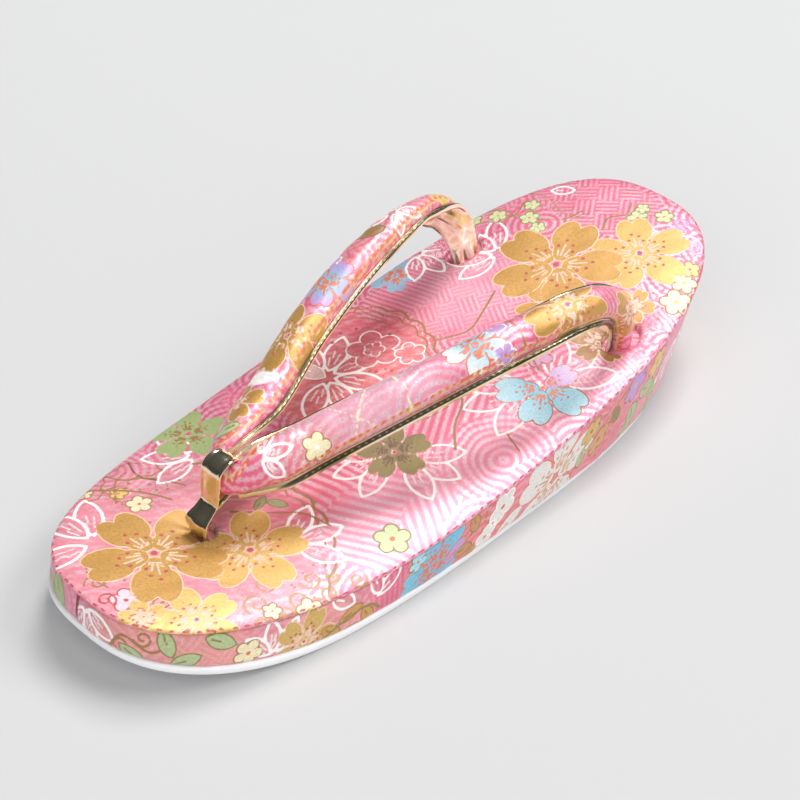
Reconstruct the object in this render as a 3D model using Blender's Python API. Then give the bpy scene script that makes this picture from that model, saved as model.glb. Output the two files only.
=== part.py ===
# Zori sandal: a wedge sole wrapped in brocade, a padded footbed and a padded V strap
# with a gilt lining, held at the front by a gilt loop.
# Metres, +Z up, the toe towards -Y, standing on the floor at Z = 0.
import math

import bmesh
import bpy
import numpy as np
from mathutils import Matrix, Vector

# Sole
LENGTH = 0.2115
WIDTH = 0.0860
FOOTBED_WIDTH = 0.0834
FOOTBED_SETBACK = 0.0015
WIDEST_AT = 0.54
TOE_FULLNESS = 2.70
HEEL_FULLNESS = 2.60
FOREFOOT_HEIGHT = 0.0120
HEEL_HEIGHT = 0.0327
RISE_FROM = 0.30
RISE_POWER = 1.6
TOE_SPRING = 0.0080
SPRING_FROM = 0.24
TOE_TAPER = 0.0009
HEEL_SLANT = 0.0134
OUTSOLE_THICKNESS = 0.0024
OUTSOLE_MARGIN = 0.0006
FOOTBED_LIP = 0.0005

# Footbed padding
PAD_THICKNESS = 0.0034
PAD_FLATNESS = 8.0
PAD_ROUNDNESS = 2.4
DIMPLE_DEPTH = 0.0016
DIMPLE_REACH = 0.0085

# Where the straps go in
FRONT_HOLE_FROM_TOE = 0.0370
REAR_HOLE_FROM_TOE = 0.1590
REAR_HOLE_SIDE = 0.0290
FRONT_HOLE_HALF_WIDTH = 0.0029
FRONT_HOLE_HALF_LENGTH = 0.0026
REAR_HOLE_HALF_WIDTH = 0.0038
REAR_HOLE_HALF_LENGTH = 0.0058
FRONT_HOLE_DEPTH = 0.0060
REAR_HOLE_DEPTH = 0.0100

# Strap
STRAP_WIDTH = 0.0106
STRAP_THICKNESS = 0.0068
STRAP_HEIGHT = 0.0290
STRAP_FULLNESS = 2.4
LINING_THICKNESS = 0.0014
PIPING_RADIUS = 0.00085

# Front loop
LOOP_WIDTH = 0.0070
LOOP_BACK_WIDTH = 0.0026
LOOP_THICKNESS = 0.0011
LOOP_DEPTH = 0.0086
LOOP_HEIGHT = 0.0127
LOOP_BEHIND_HOLE = 0.0065
LOOP_MIDDLE_HEIGHT = 0.0154
LOOP_SQUARENESS = 3.2
STEM_HALF_WIDTH = 0.0024
STEM_HALF_LENGTH = 0.0021

GAP = 0.0003
RIM_POINTS = 64
ARM_STATIONS = 42
LOOP_STATIONS = 30

TOE_Y = -LENGTH / 2
HEEL_Y = LENGTH / 2
FOOTBED_TOE_Y = TOE_Y + FOOTBED_SETBACK
FRONT_HOLE_Y = FOOTBED_TOE_Y + FRONT_HOLE_FROM_TOE
REAR_HOLE_Y = FOOTBED_TOE_Y + REAR_HOLE_FROM_TOE

# One row for each section of the strap's right arm, front to rear.
# along: share of the way from the front hole to the rear holes
# side: share of REAR_HOLE_SIDE out from the middle
# height: share of STRAP_HEIGHT above the sole's seam
# width, thick: shares of STRAP_WIDTH and STRAP_THICKNESS
# tilt: degrees that the outer edge hangs lower
ARM_ROWS = [
    {"along": 0.062, "side": -0.112, "height": 0.530, "width": 0.87, "thick": 0.76, "tilt": 84},
    {"along": 0.052, "side": 0.000, "height": 0.530, "width": 0.87, "thick": 0.76, "tilt": 84},
    {"along": 0.062, "side": 0.112, "height": 0.530, "width": 0.87, "thick": 0.76, "tilt": 84},
    {"along": 0.086, "side": 0.188, "height": 0.590, "width": 0.97, "thick": 0.82, "tilt": 74},
    {"along": 0.122, "side": 0.238, "height": 0.668, "width": 1.06, "thick": 0.90, "tilt": 54},
    {"along": 0.168, "side": 0.292, "height": 0.732, "width": 1.08, "thick": 0.97, "tilt": 34},
    {"along": 0.246, "side": 0.372, "height": 0.795, "width": 1.08, "thick": 1.00, "tilt": 21},
    {"along": 0.394, "side": 0.600, "height": 0.935, "width": 1.06, "thick": 1.00, "tilt": 15},
    {"along": 0.558, "side": 0.805, "height": 1.005, "width": 1.01, "thick": 1.00, "tilt": 13},
    {"along": 0.705, "side": 0.950, "height": 1.000, "width": 0.94, "thick": 0.98, "tilt": 18},
    {"along": 0.828, "side": 1.035, "height": 0.930, "width": 0.86, "thick": 0.94, "tilt": 32},
    {"along": 0.918, "side": 1.070, "height": 0.760, "width": 0.80, "thick": 0.88, "tilt": 52},
    {"along": 0.971, "side": 1.060, "height": 0.490, "width": 0.74, "thick": 0.80, "tilt": 70},
    {"along": 0.994, "side": 1.030, "height": 0.200, "width": 0.66, "thick": 0.74, "tilt": 82},
    {"along": 1.000, "side": 1.005, "height": -0.040, "width": 0.58, "thick": 0.70, "tilt": 88},
    {"along": 1.000, "side": 1.000, "height": -0.250, "width": 0.56, "thick": 0.66, "tilt": 90},
]
# The front of the table turns across the middle, where the toe is the outer side.
FRONT_TURN_ENDS_AT = 0.25
MIDDLE_ROW = 1
LINING_SKIPS = 6
BASE_SHARES = [-0.6, 0.0, 0.6]

# One row for each section of the loop's stem, top to bottom.
# back: share of LOOP_BEHIND_HOLE behind the hole
# height: share of the loop's underside height above the seam
# width, length: shares of the stem's half sizes in the hole
STEM_ROWS = [
    {"back": 0.62, "height": 1.06, "width": 1.42, "length": 1.24},
    {"back": 0.50, "height": 0.94, "width": 1.54, "length": 1.24},
    {"back": 0.18, "height": 0.74, "width": 1.66, "length": 1.20},
    {"back": -0.12, "height": 0.48, "width": 1.60, "length": 1.14},
    {"back": -0.08, "height": 0.30, "width": 1.25, "length": 1.05},
    {"back": 0.00, "height": 0.17, "width": 1.02, "length": 1.00},
    {"back": 0.00, "height": -0.06, "width": 1.00, "length": 1.00},
    {"back": 0.00, "height": -0.46, "width": 0.92, "length": 0.92},
]


def clear_scene():
    for obj in list(bpy.data.objects):
        bpy.data.objects.remove(obj)


def make_collection(name):
    collection = bpy.data.collections.new(name)
    bpy.context.scene.collection.children.link(collection)
    return collection


def make_material(name, colour, roughness, metallic=0.0):
    material = bpy.data.materials.new(name)
    material.use_nodes = True
    shader = material.node_tree.nodes["Principled BSDF"]
    shader.inputs["Base Color"].default_value = (*colour, 1.0)
    shader.inputs["Roughness"].default_value = roughness
    shader.inputs["Metallic"].default_value = metallic
    return material


def loft(name, rings, collection, material=None, closed=False):
    """A solid whose skin runs from ring to ring, with filled ends unless it closes on itself."""
    bm = bmesh.new()
    loops = [[bm.verts.new(point) for point in ring] for ring in rings]
    pairs = list(zip(loops, loops[1:]))
    if closed:
        pairs.append((loops[-1], loops[0]))
    for low, high in pairs:
        for i in range(len(low)):
            j = (i + 1) % len(low)
            bm.faces.new((low[i], low[j], high[j], high[i]))
    if not closed:
        bm.faces.new(loops[0])
        bm.faces.new(loops[-1])
    bmesh.ops.recalc_face_normals(bm, faces=bm.faces)
    mesh = bpy.data.meshes.new(name)
    bm.to_mesh(mesh)
    bm.free()
    mesh.shade_smooth()
    mesh.set_sharp_from_angle(angle=math.radians(35))
    obj = bpy.data.objects.new(name, mesh)
    if material:
        mesh.materials.append(material)
    collection.objects.link(obj)
    return obj


def smooth_rows(rows, steps):
    """The rows' columns along a curve through every row, as a list of dicts."""
    keys = list(rows[0])
    table = np.array([[row[key] for key in keys] for row in rows], float)
    padded = np.vstack([2 * table[0] - table[1], table, 2 * table[-1] - table[-2]])
    found = []
    for place in steps:
        i = min(int(place), len(rows) - 2)
        f = place - i
        before, a, b, after = padded[i : i + 4]
        values = 0.5 * (
            2 * a
            + (b - before) * f
            + (2 * before - 5 * a + 4 * b - after) * f**2
            + (3 * a - before - 3 * b + after) * f**3
        )
        found.append(dict(zip(keys, values)))
    return found


def share_along(y):
    return (y - FOOTBED_TOE_Y) / (HEEL_Y - FOOTBED_TOE_Y)


def underside(y):
    """Height of the outsole's underside: flat on the floor, lifted at the toe."""
    lift = max(SPRING_FROM - share_along(y), 0.0) / SPRING_FROM
    return TOE_SPRING * lift**2


def seam_height(y):
    """Height of the seam between the wrapped side and the footbed."""
    share = share_along(y)
    lift = max(RISE_FROM - share, 0.0) / RISE_FROM
    rise = max(share - RISE_FROM, 0.0) / (1.0 - RISE_FROM)
    heel_rise = HEEL_HEIGHT - FOREFOOT_HEIGHT
    return FOREFOOT_HEIGHT + (TOE_SPRING - TOE_TAPER) * lift**2 + heel_rise * rise**RISE_POWER


def quarter(reach, half_width, fullness):
    """Evenly spaced points of a quarter of the outline, from the side (half_width, 0) to the tip (0, reach)."""
    angles = np.linspace(0, math.pi / 2, 400)
    x = half_width * np.cos(angles).clip(0) ** (2 / fullness)
    y = reach * np.sin(angles) ** (2 / fullness)
    walked = np.concatenate([[0], np.cumsum(np.hypot(np.diff(x), np.diff(y)))])
    marks = np.linspace(0, walked[-1], RIM_POINTS // 4 + 1)
    return list(zip(np.interp(marks, walked, x), np.interp(marks, walked, y)))


def rim(toe_y, heel_y, half_width):
    """The sole's outline as points (x, y), and the y that its rings shrink to."""
    centre = toe_y + WIDEST_AT * (heel_y - toe_y)
    heel = quarter(heel_y - centre, half_width, HEEL_FULLNESS)
    toe = quarter(centre - toe_y, half_width, TOE_FULLNESS)
    points = [(x, centre + y) for x, y in heel[:-1]]
    points += [(-x, centre + y) for x, y in heel[:0:-1]]
    points += [(-x, centre - y) for x, y in toe[:-1]]
    points += [(x, centre - y) for x, y in toe[:0:-1]]
    return points, centre


def ring(outline, share, height):
    """The outline drawn in to a share of its size, each point at height(y)."""
    points, centre = outline
    drawn = [(x * share, centre + (y - centre) * share) for x, y in points]
    return [Vector((x, y, height(y))) for x, y in drawn]


FLAT_SHARES = [0.02, 0.30, 0.55, 0.75, 0.90]
FLOOR_OUTLINE = rim(TOE_Y, HEEL_Y - HEEL_SLANT, WIDTH / 2)
WRAP_FLOOR_OUTLINE = rim(
    TOE_Y + OUTSOLE_MARGIN, HEEL_Y - HEEL_SLANT - OUTSOLE_MARGIN, WIDTH / 2 - OUTSOLE_MARGIN
)
WRAP_SEAM_OUTLINE = rim(
    FOOTBED_TOE_Y + FOOTBED_LIP, HEEL_Y - FOOTBED_LIP, FOOTBED_WIDTH / 2 - FOOTBED_LIP
)
FOOTBED_OUTLINE = rim(FOOTBED_TOE_Y, HEEL_Y, FOOTBED_WIDTH / 2)


def outsole_top(y):
    return underside(y) + OUTSOLE_THICKNESS


def add_outsole(collection, material):
    rings = [ring(FLOOR_OUTLINE, share, underside) for share in FLAT_SHARES]
    rings.append(ring(FLOOR_OUTLINE, 0.993, underside))
    for up in (0.3, 0.7):
        rings.append(ring(FLOOR_OUTLINE, 1.0, lambda y, up=up: underside(y) + up * OUTSOLE_THICKNESS))
    rings.append(ring(FLOOR_OUTLINE, 0.993, outsole_top))
    rings += [ring(FLOOR_OUTLINE, share, outsole_top) for share in reversed(FLAT_SHARES)]
    return loft("outsole", rings, collection, material)


def add_midsole(collection, material):
    """The wedge under its brocade wrap, whose heel leans forward towards the floor."""

    def low(y):
        return outsole_top(y) + GAP

    def high(y):
        return seam_height(y) - GAP

    rings = [ring(WRAP_FLOOR_OUTLINE, share, low) for share in FLAT_SHARES]
    foot = ring(WRAP_FLOOR_OUTLINE, 1.0, low)
    head = ring(WRAP_SEAM_OUTLINE, 1.0, high)
    rings.append(foot)
    rings += [[a.lerp(b, up) for a, b in zip(foot, head)] for up in (1 / 3, 2 / 3)]
    rings.append(head)
    rings += [ring(WRAP_SEAM_OUTLINE, share, high) for share in reversed(FLAT_SHARES)]
    return loft("midsole", rings, collection, material)


def dimple(x, y):
    """How far the straps pull the padding down at a point."""
    holes = [(0.0, FRONT_HOLE_Y), (REAR_HOLE_SIDE, REAR_HOLE_Y), (-REAR_HOLE_SIDE, REAR_HOLE_Y)]
    near = min(math.hypot(x - hx, y - hy) for hx, hy in holes)
    return DIMPLE_DEPTH * math.exp(-((near / DIMPLE_REACH) ** 2))


def padded(share):
    """The footbed's crowned top at one share of its outline."""
    height = PAD_THICKNESS * (1 - share**PAD_FLATNESS) ** (1 / PAD_ROUNDNESS)
    points = ring(FOOTBED_OUTLINE, share, seam_height)
    return [Vector((p.x, p.y, p.z + height - dimple(p.x, p.y))) for p in points]


def add_footbed(collection, material):
    rings = [ring(FOOTBED_OUTLINE, share, seam_height) for share in FLAT_SHARES]
    rings.append(ring(FOOTBED_OUTLINE, 0.993, seam_height))
    top_shares = [0.9995, 0.99, 0.97, 0.93, 0.87, 0.80, 0.73, 0.66, 0.59, 0.51, 0.40, 0.25, 0.02]
    rings += [padded(share) for share in top_shares]
    return loft("footbed", rings, collection, material)


def arm_middle(row):
    y = FRONT_HOLE_Y + row["along"] * (REAR_HOLE_Y - FRONT_HOLE_Y)
    return Vector((row["side"] * REAR_HOLE_SIDE, y, seam_height(y) + row["height"] * STRAP_HEIGHT))


def arm_frames():
    """Middle, outward across, outer-face normal and row values for each section of the right arm."""
    step = (len(ARM_ROWS) - 1 - MIDDLE_ROW) / (ARM_STATIONS - 1)
    rows = smooth_rows(ARM_ROWS, [MIDDLE_ROW + step * i for i in range(-1, ARM_STATIONS)])
    middles = [arm_middle(row) for row in rows]
    middles.append(2 * middles[-1] - middles[-2])
    frames = []
    for i in range(1, ARM_STATIONS + 1):
        ahead = (middles[i + 1] - middles[i - 1]).normalized()
        outer = Vector((1, -max(0.0, 1 - rows[i]["along"] / FRONT_TURN_ENDS_AT), 0))
        side = (outer - ahead * outer.dot(ahead)).normalized()
        over = side.cross(ahead)
        tilt = math.radians(rows[i]["tilt"])
        across = side * math.cos(tilt) - over * math.sin(tilt)
        normal = over * math.cos(tilt) + side * math.sin(tilt)
        frames.append((middles[i], across, normal, rows[i]))
    return frames


def strap_section(row):
    """The padded brocade: a dome on a flat base, as (across, up) pairs."""
    half = STRAP_WIDTH / 2 * row["width"]
    base = (LINING_THICKNESS + GAP - STRAP_THICKNESS / 2) * row["thick"]
    top = STRAP_THICKNESS / 2 * row["thick"]
    section = []
    for angle in np.linspace(0, math.pi, 11):
        across, up = math.cos(angle), math.sin(angle)
        x = half * math.copysign(abs(across) ** (2 / STRAP_FULLNESS), across)
        section.append((x, base + (top - base) * abs(up) ** (2 / STRAP_FULLNESS)))
    return section + [(share * half, base) for share in BASE_SHARES]


def lining_section(row):
    """The gilt lining: a flat strip with a rolled bead along each edge."""
    bead = PIPING_RADIUS * row["thick"]
    floor = -STRAP_THICKNESS / 2 * row["thick"]
    half = STRAP_WIDTH / 2 * row["width"]
    reach = half + math.sqrt((bead + GAP) ** 2 - bead**2)
    right = []
    for angle in (-90, -45, 0, 45, 90, 140):
        turn = math.radians(angle)
        right.append((reach + bead * math.cos(turn), floor + bead + bead * math.sin(turn)))
    left = [(-x, up) for x, up in reversed(right)]
    top = [(-share * half, left[0][1]) for share in BASE_SHARES]
    underside_strip = [(share * half, floor) for share in BASE_SHARES]
    return right + top + left + underside_strip


def sweep(frames, section):
    rings = []
    for middle, across, normal, row in frames:
        rings.append([middle + across * x + normal * up for x, up in section(row)])
    return rings


def flipped(rings):
    """The rings on the other side of the middle plane."""
    return [[Vector((-p.x, p.y, p.z)) for p in points] for points in rings]


def add_strap(collection, frames, material):
    """Both arms as one solid, joined where the front turns across the middle."""
    rings = sweep(frames, strap_section)
    for point in rings[0]:
        point.x = 0.0
    return loft("strap", flipped(rings[:0:-1]) + rings, collection, material)


def add_linings(collection, frames, material):
    rings = sweep(frames[LINING_SKIPS:], lining_section)
    loft("strap_lining_right", rings, collection, material)
    loft("strap_lining_left", flipped(rings), collection, material)


def loop_ring(share):
    """One section of the loop's band, a share of the way round from its front."""
    turn = 2 * math.pi * share
    forward, up = math.cos(turn), math.sin(turn)
    bulge = (abs(forward) ** LOOP_SQUARENESS + abs(up) ** LOOP_SQUARENESS) ** (-1 / LOOP_SQUARENESS)
    middle_y = FRONT_HOLE_Y + LOOP_BEHIND_HOLE
    middle_z = seam_height(middle_y) + LOOP_MIDDLE_HEIGHT
    back_share = max(-forward, 0.0) ** 0.5
    half = (LOOP_WIDTH + (LOOP_BACK_WIDTH - LOOP_WIDTH) * back_share) / 2
    points = []
    section = [(-1, 0.0), (-0.9, 1.0), (0, 1.12), (0.9, 1.0), (1, 0.0), (0.9, -1.0), (0, -1.0), (-0.9, -1.0)]
    for across, out in section:
        depth = LOOP_DEPTH / 2 + (out - 1) * LOOP_THICKNESS / 2
        height = LOOP_HEIGHT / 2 + (out - 1) * LOOP_THICKNESS / 2
        y = middle_y - forward * bulge * depth
        z = middle_z + up * bulge * height
        points.append(Vector((across * half, y, z)))
    return points


def stem_ring(row):
    y = FRONT_HOLE_Y + row["back"] * LOOP_BEHIND_HOLE
    z = seam_height(y) + row["height"] * (LOOP_MIDDLE_HEIGHT - LOOP_HEIGHT / 2)
    turns = [2 * math.pi * i / 14 for i in range(14)]
    half_x = STEM_HALF_WIDTH * row["width"]
    half_y = STEM_HALF_LENGTH * row["length"]
    return [Vector((half_x * math.cos(t), y + half_y * math.sin(t), z)) for t in turns]


def boolean(obj, other, operation):
    modifier = obj.modifiers.new(other.name, "BOOLEAN")
    modifier.operation = operation
    modifier.object = other
    modifier.solver = "EXACT"


def as_helper(obj):
    obj.hide_render = True
    obj.display_type = "WIRE"


def add_front_loop(collection, cutters, material):
    band = loft(
        "front_loop", [loop_ring(i / LOOP_STATIONS) for i in range(LOOP_STATIONS)], collection, material, closed=True
    )
    steps = np.linspace(0, len(STEM_ROWS) - 1, 14)
    stem = loft("stem", [stem_ring(row) for row in smooth_rows(STEM_ROWS, steps)], cutters)
    as_helper(stem)
    boolean(band, stem, "UNION")
    return band


def add_hole_cutter(name, place, half_width, half_length, depth, cutters):
    """An upright oval that reaches from above the footbed down to depth below the seam."""
    x, y = place
    top = seam_height(y) + 3 * PAD_THICKNESS
    bottom = seam_height(y) - depth
    bm = bmesh.new()
    bmesh.ops.create_cone(
        bm, cap_ends=True, segments=24, radius1=1.0, radius2=1.0, depth=top - bottom,
        matrix=Matrix.Translation((0, 0, (top + bottom) / 2)),
    )
    for vertex in bm.verts:
        vertex.co.x = x + vertex.co.x * half_width
        vertex.co.y = y + vertex.co.y * half_length
    mesh = bpy.data.meshes.new(name)
    bm.to_mesh(mesh)
    bm.free()
    cutter = bpy.data.objects.new(name, mesh)
    cutters.objects.link(cutter)
    as_helper(cutter)
    return cutter


def cut_holes(pieces, cutters):
    front = ("front_hole", (0.0, FRONT_HOLE_Y), FRONT_HOLE_HALF_WIDTH, FRONT_HOLE_HALF_LENGTH, FRONT_HOLE_DEPTH)
    holes = [front]
    for side, name in ((1, "rear_hole_right"), (-1, "rear_hole_left")):
        place = (side * REAR_HOLE_SIDE, REAR_HOLE_Y)
        holes.append((name, place, REAR_HOLE_HALF_WIDTH, REAR_HOLE_HALF_LENGTH, REAR_HOLE_DEPTH))
    for name, place, half_width, half_length, depth in holes:
        cutter = add_hole_cutter(name, place, half_width, half_length, depth, cutters)
        for piece in pieces:
            boolean(piece, cutter, "DIFFERENCE")


def build():
    clear_scene()
    parts = make_collection("zori_sandal")
    cutters = make_collection("cutters")
    brocade = make_material("brocade", (0.86, 0.36, 0.45), 0.45)
    strap_brocade = make_material("strap_brocade", (0.87, 0.42, 0.50), 0.42)
    gilt = make_material("gilt_leather", (0.85, 0.62, 0.30), 0.22, metallic=0.9)
    rubber = make_material("outsole_white", (0.86, 0.87, 0.90), 0.55)
    add_outsole(parts, rubber)
    midsole = add_midsole(parts, brocade)
    footbed = add_footbed(parts, brocade)
    cut_holes([midsole, footbed], cutters)
    frames = arm_frames()
    add_strap(parts, frames, strap_brocade)
    add_linings(parts, frames, gilt)
    add_front_loop(parts, cutters, gilt)


build()
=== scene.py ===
import math

import bmesh
import bpy
import numpy as np
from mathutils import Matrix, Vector


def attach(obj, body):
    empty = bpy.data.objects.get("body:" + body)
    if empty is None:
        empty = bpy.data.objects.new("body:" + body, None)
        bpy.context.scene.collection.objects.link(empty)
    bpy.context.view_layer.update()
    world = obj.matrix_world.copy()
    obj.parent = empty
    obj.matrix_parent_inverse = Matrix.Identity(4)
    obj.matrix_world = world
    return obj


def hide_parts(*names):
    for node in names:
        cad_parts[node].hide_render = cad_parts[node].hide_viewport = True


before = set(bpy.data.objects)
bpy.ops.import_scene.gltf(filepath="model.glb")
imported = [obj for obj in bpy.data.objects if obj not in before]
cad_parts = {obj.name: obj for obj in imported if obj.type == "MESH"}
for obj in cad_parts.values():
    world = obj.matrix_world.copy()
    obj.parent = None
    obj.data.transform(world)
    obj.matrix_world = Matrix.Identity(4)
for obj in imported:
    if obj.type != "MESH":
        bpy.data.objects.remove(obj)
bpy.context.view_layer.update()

MM = 0.001

# The sandal's own sizes in millimetres, as in the part.
LENGTH = 211.5
WIDTH = 86.0
FOOTBED_WIDTH = 83.4
FOOTBED_SETBACK = 1.5
WIDEST_AT = 0.54
TOE_FULLNESS = 2.70
HEEL_FULLNESS = 2.60
FOREFOOT_HEIGHT = 12.0
HEEL_HEIGHT = 32.7
RISE_FROM = 0.30
RISE_POWER = 1.6
TOE_SPRING = 8.0
SPRING_FROM = 0.24
TOE_TAPER = 0.9
HEEL_SLANT = 13.4
OUTSOLE_THICKNESS = 2.4
OUTSOLE_MARGIN = 0.6
OUTSOLE_SET_BACK = 1.5
FOOTBED_LIP = 0.5
PAD_THICKNESS = 3.4
PAD_FLATNESS = 3.6
PAD_CROWN = 0.7
PAD_ROUNDNESS = 2.4
DIMPLE_DEPTH = 1.6
DIMPLE_REACH = 8.5
FRONT_HOLE_FROM_TOE = 37.0
REAR_HOLE_FROM_TOE = 159.0
REAR_HOLE_SIDE = 29.0
STRAP_WIDTH = 10.6
STRAP_THICKNESS = 6.8
STRAP_HEIGHT = 29.0
STRAP_FULLNESS = 2.4
LINING_THICKNESS = 1.4
PIPING_RADIUS = 0.85
GAP = 0.3

TOE_Y = -LENGTH / 2
HEEL_Y = LENGTH / 2
FOOTBED_TOE_Y = TOE_Y + FOOTBED_SETBACK
FRONT_HOLE_Y = FOOTBED_TOE_Y + FRONT_HOLE_FROM_TOE
REAR_HOLE_Y = FOOTBED_TOE_Y + REAR_HOLE_FROM_TOE

# The right arm's rows from the front to the rear: along and side are shares of the way from the front
# hole to the rear one, height is over the seam in shares of the strap's height, width and thick are
# shares of the strap's own, and tilt is how far the section is turned on edge, in degrees. The first
# row is on the left arm, so that the arms meet smoothly at MIDDLE_ROW.
ARM_KEYS = ("along", "side", "height", "width", "thick", "tilt")
ARM_ROWS = [
    (0.062, -0.112, 0.530, 0.87, 0.76, 84),
    (0.052, 0.000, 0.530, 0.87, 0.76, 84),
    (0.062, 0.112, 0.530, 0.87, 0.76, 84),
    (0.086, 0.188, 0.590, 0.97, 0.82, 74),
    (0.122, 0.238, 0.668, 1.06, 0.90, 54),
    (0.168, 0.292, 0.732, 1.08, 0.97, 34),
    (0.246, 0.372, 0.795, 1.08, 1.00, 21),
    (0.394, 0.600, 0.935, 1.06, 1.00, 15),
    (0.558, 0.805, 1.005, 1.01, 1.00, 13),
    (0.705, 0.950, 1.000, 0.94, 0.98, 18),
    (0.828, 1.035, 0.930, 0.86, 0.94, 32),
    (0.918, 1.070, 0.760, 0.80, 0.88, 52),
    (0.971, 1.060, 0.490, 0.74, 0.80, 70),
    (0.994, 1.030, 0.200, 0.66, 0.74, 82),
    (1.000, 1.005, -0.040, 0.58, 0.70, 88),
    (1.000, 1.000, -0.250, 0.56, 0.66, 90),
]
MIDDLE_ROW = 1
FRONT_TURN_ENDS_AT = 0.25

# The strap's edge and the linings' beads near the loop.
FRONT_EDGE_LIFT = 0.45
FRONT_EDGE_REACH = 0.055
INNER_BEAD_SHIFT = 0.5
GILT_STARTS_AT = 2.02
OUTER_BEAD_GAIN = 1.25
FRONT_BEAD_GAIN = 0.75
FRONT_BEAD_REACH = 10.0

# The loop's band from inside the front hole, up its front, over the straps and down behind them.
# back and up are millimetres from the hole at the seam's height, width is across the band
# and curl how much the band's edges are rolled.
LOOP_KEYS = ("back", "up", "width", "curl")
LOOP_ROWS = [
    (-1.2, -3.2, 4.4, 0.8),
    (-1.8, 0.4, 4.6, 0.8),
    (-2.6, 3.0, 6.0, 0.6),
    (-3.0, 5.6, 7.6, 0.5),
    (-2.3, 7.4, 7.4, 0.35),
    (0.3, 9.0, 6.4, 0.25),
    (1.9, 10.6, 6.2, 0.25),
    (2.4, 13.4, 6.6, 0.2),
    (2.9, 16.6, 7.0, 0.2),
    (3.4, 19.5, 7.0, 0.15),
    (5.0, 21.1, 7.0, 0.1),
    (7.6, 21.7, 6.6, 0.1),
    (10.2, 20.4, 5.2, 0.2),
    (10.8, 16.5, 3.6, 0.4),
    (9.4, 11.0, 3.2, 0.5),
    (6.0, 8.6, 3.2, 0.6),
    (2.5, 7.4, 3.2, 0.6),
]

# Each hole's middle, half width, half length and depth.
HOLES = (
    (0.0, FRONT_HOLE_Y, 2.9, 2.6, 6.0),
    (REAR_HOLE_SIDE, REAR_HOLE_Y, 3.8, 5.8, 10.0),
    (-REAR_HOLE_SIDE, REAR_HOLE_Y, 3.8, 5.8, 10.0),
)

# The wrap's length round the sole, and where it is joined, from the toe.
PERIMETER = 501.4
WRAP_JOIN = -2.0

# How far in from its edge the footbed's pad curves down.
PAD_CURVE = 10.0

# How finely each piece is divided, and into how many strips a long one is cut for the bake.
FOOTBED_COLUMNS = 900
WRAP_COLUMNS = 980
WRAP_ROWS = 46
OUTSOLE_COLUMNS = 480
STRAP_ROWS = 300
DOME_COLUMNS = 35
STRAP_BASE_COLUMNS = 7
LINING_ROWS = 260
LOOP_STEPS = 150
BAKE_STRIPS = 4

# How far apart the footbed's stitches, the strap's dashes of thread and the linings' dots are.
STITCH_PITCH = 2.9
THREAD_PITCH = 2.2
DOT_PITCH = 1.9

# A distance that stands for nothing nearby on the cloth, the thinnest line that is drawn on it, and the
# count of waves in a ripple.
FAR = 9.0
THINNEST_LINE = 0.55
RIPPLE_WAVES = 7

# The studio, in metres.
FLOOR_HALF = 4.0
KEY = {"place": (-0.64, 1.80, 3.50), "size": (1.15, 1.75)}
WINDOW = {"place": (1.35, 1.65, 2.30), "size": (1.30, 1.30)}
CAMERA_PLACE = (0.2676, -0.2672, 0.3294)
CAMERA_TARGET = (0.002, -0.002, 0.020)
LENS = 84.0


# Shape functions, all in millimetres.


def share_along(y):
    return (y - FOOTBED_TOE_Y) / (HEEL_Y - FOOTBED_TOE_Y)


def underside(y):
    lift = np.maximum(SPRING_FROM - share_along(y), 0.0) / SPRING_FROM
    return TOE_SPRING * lift**2


def seam_height(y):
    share = share_along(y)
    lift = np.maximum(RISE_FROM - share, 0.0) / RISE_FROM
    rise = np.maximum(share - RISE_FROM, 0.0) / (1.0 - RISE_FROM)
    heel_rise = HEEL_HEIGHT - FOREFOOT_HEIGHT
    return FOREFOOT_HEIGHT + (TOE_SPRING - TOE_TAPER) * lift**2 + heel_rise * rise**RISE_POWER


def power(value, exponent):
    return np.copysign(np.abs(value) ** exponent, value)


def outline(turn, toe_y, heel_y, half_width, inset=0.0):
    """Points of the sole's outline at the given turns, drawn in by an equal margin all round."""
    centre = toe_y + WIDEST_AT * (heel_y - toe_y)
    across, along = np.cos(turn), np.sin(turn)
    heel = along > 0
    fullness = np.where(heel, HEEL_FULLNESS, TOE_FULLNESS)
    reach = np.where(heel, heel_y - centre, centre - toe_y) - inset
    x = (half_width - inset) * power(across, 2 / fullness)
    y = centre + reach * power(along, 2 / fullness)
    return x, y


def even_turns(count):
    """Turns that space the footbed's outline evenly, starting at the toe."""
    dense = np.linspace(-math.pi / 2, 1.5 * math.pi, 20001)
    x, y = outline(dense, FOOTBED_TOE_Y, HEEL_Y, FOOTBED_WIDTH / 2)
    walked = np.concatenate([[0], np.cumsum(np.hypot(np.diff(x), np.diff(y)))])
    marks = np.linspace(0, walked[-1], count, endpoint=False)
    return np.interp(marks, walked, dense), marks, walked[-1]


def dimple(x, y):
    near = np.hypot(x, y - FRONT_HOLE_Y)
    for side in (1, -1):
        near = np.minimum(near, np.hypot(x - side * REAR_HOLE_SIDE, y - REAR_HOLE_Y))
    return DIMPLE_DEPTH * np.exp(-((near / DIMPLE_REACH) ** 2))


def smooth_rows(keys, rows, steps):
    """Each key's values at the given steps of a smooth curve through the rows."""
    table = np.array(rows, float)
    padded = np.vstack([2 * table[0] - table[1], table, 2 * table[-1] - table[-2]])
    steps = np.asarray(steps, float)
    index = np.clip(np.floor(steps).astype(int), 0, len(rows) - 2)
    f = (steps - index)[:, None]
    before, a, b, after = (padded[index + k] for k in range(4))
    values = 0.5 * (
        2 * a
        + (b - before) * f
        + (2 * before - 5 * a + 4 * b - after) * f**2
        + (3 * a - before - 3 * b + after) * f**3
    )
    return {key: values[:, i] for i, key in enumerate(keys)}


def unit(vectors):
    return vectors / np.linalg.norm(vectors, axis=-1, keepdims=True)


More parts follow.
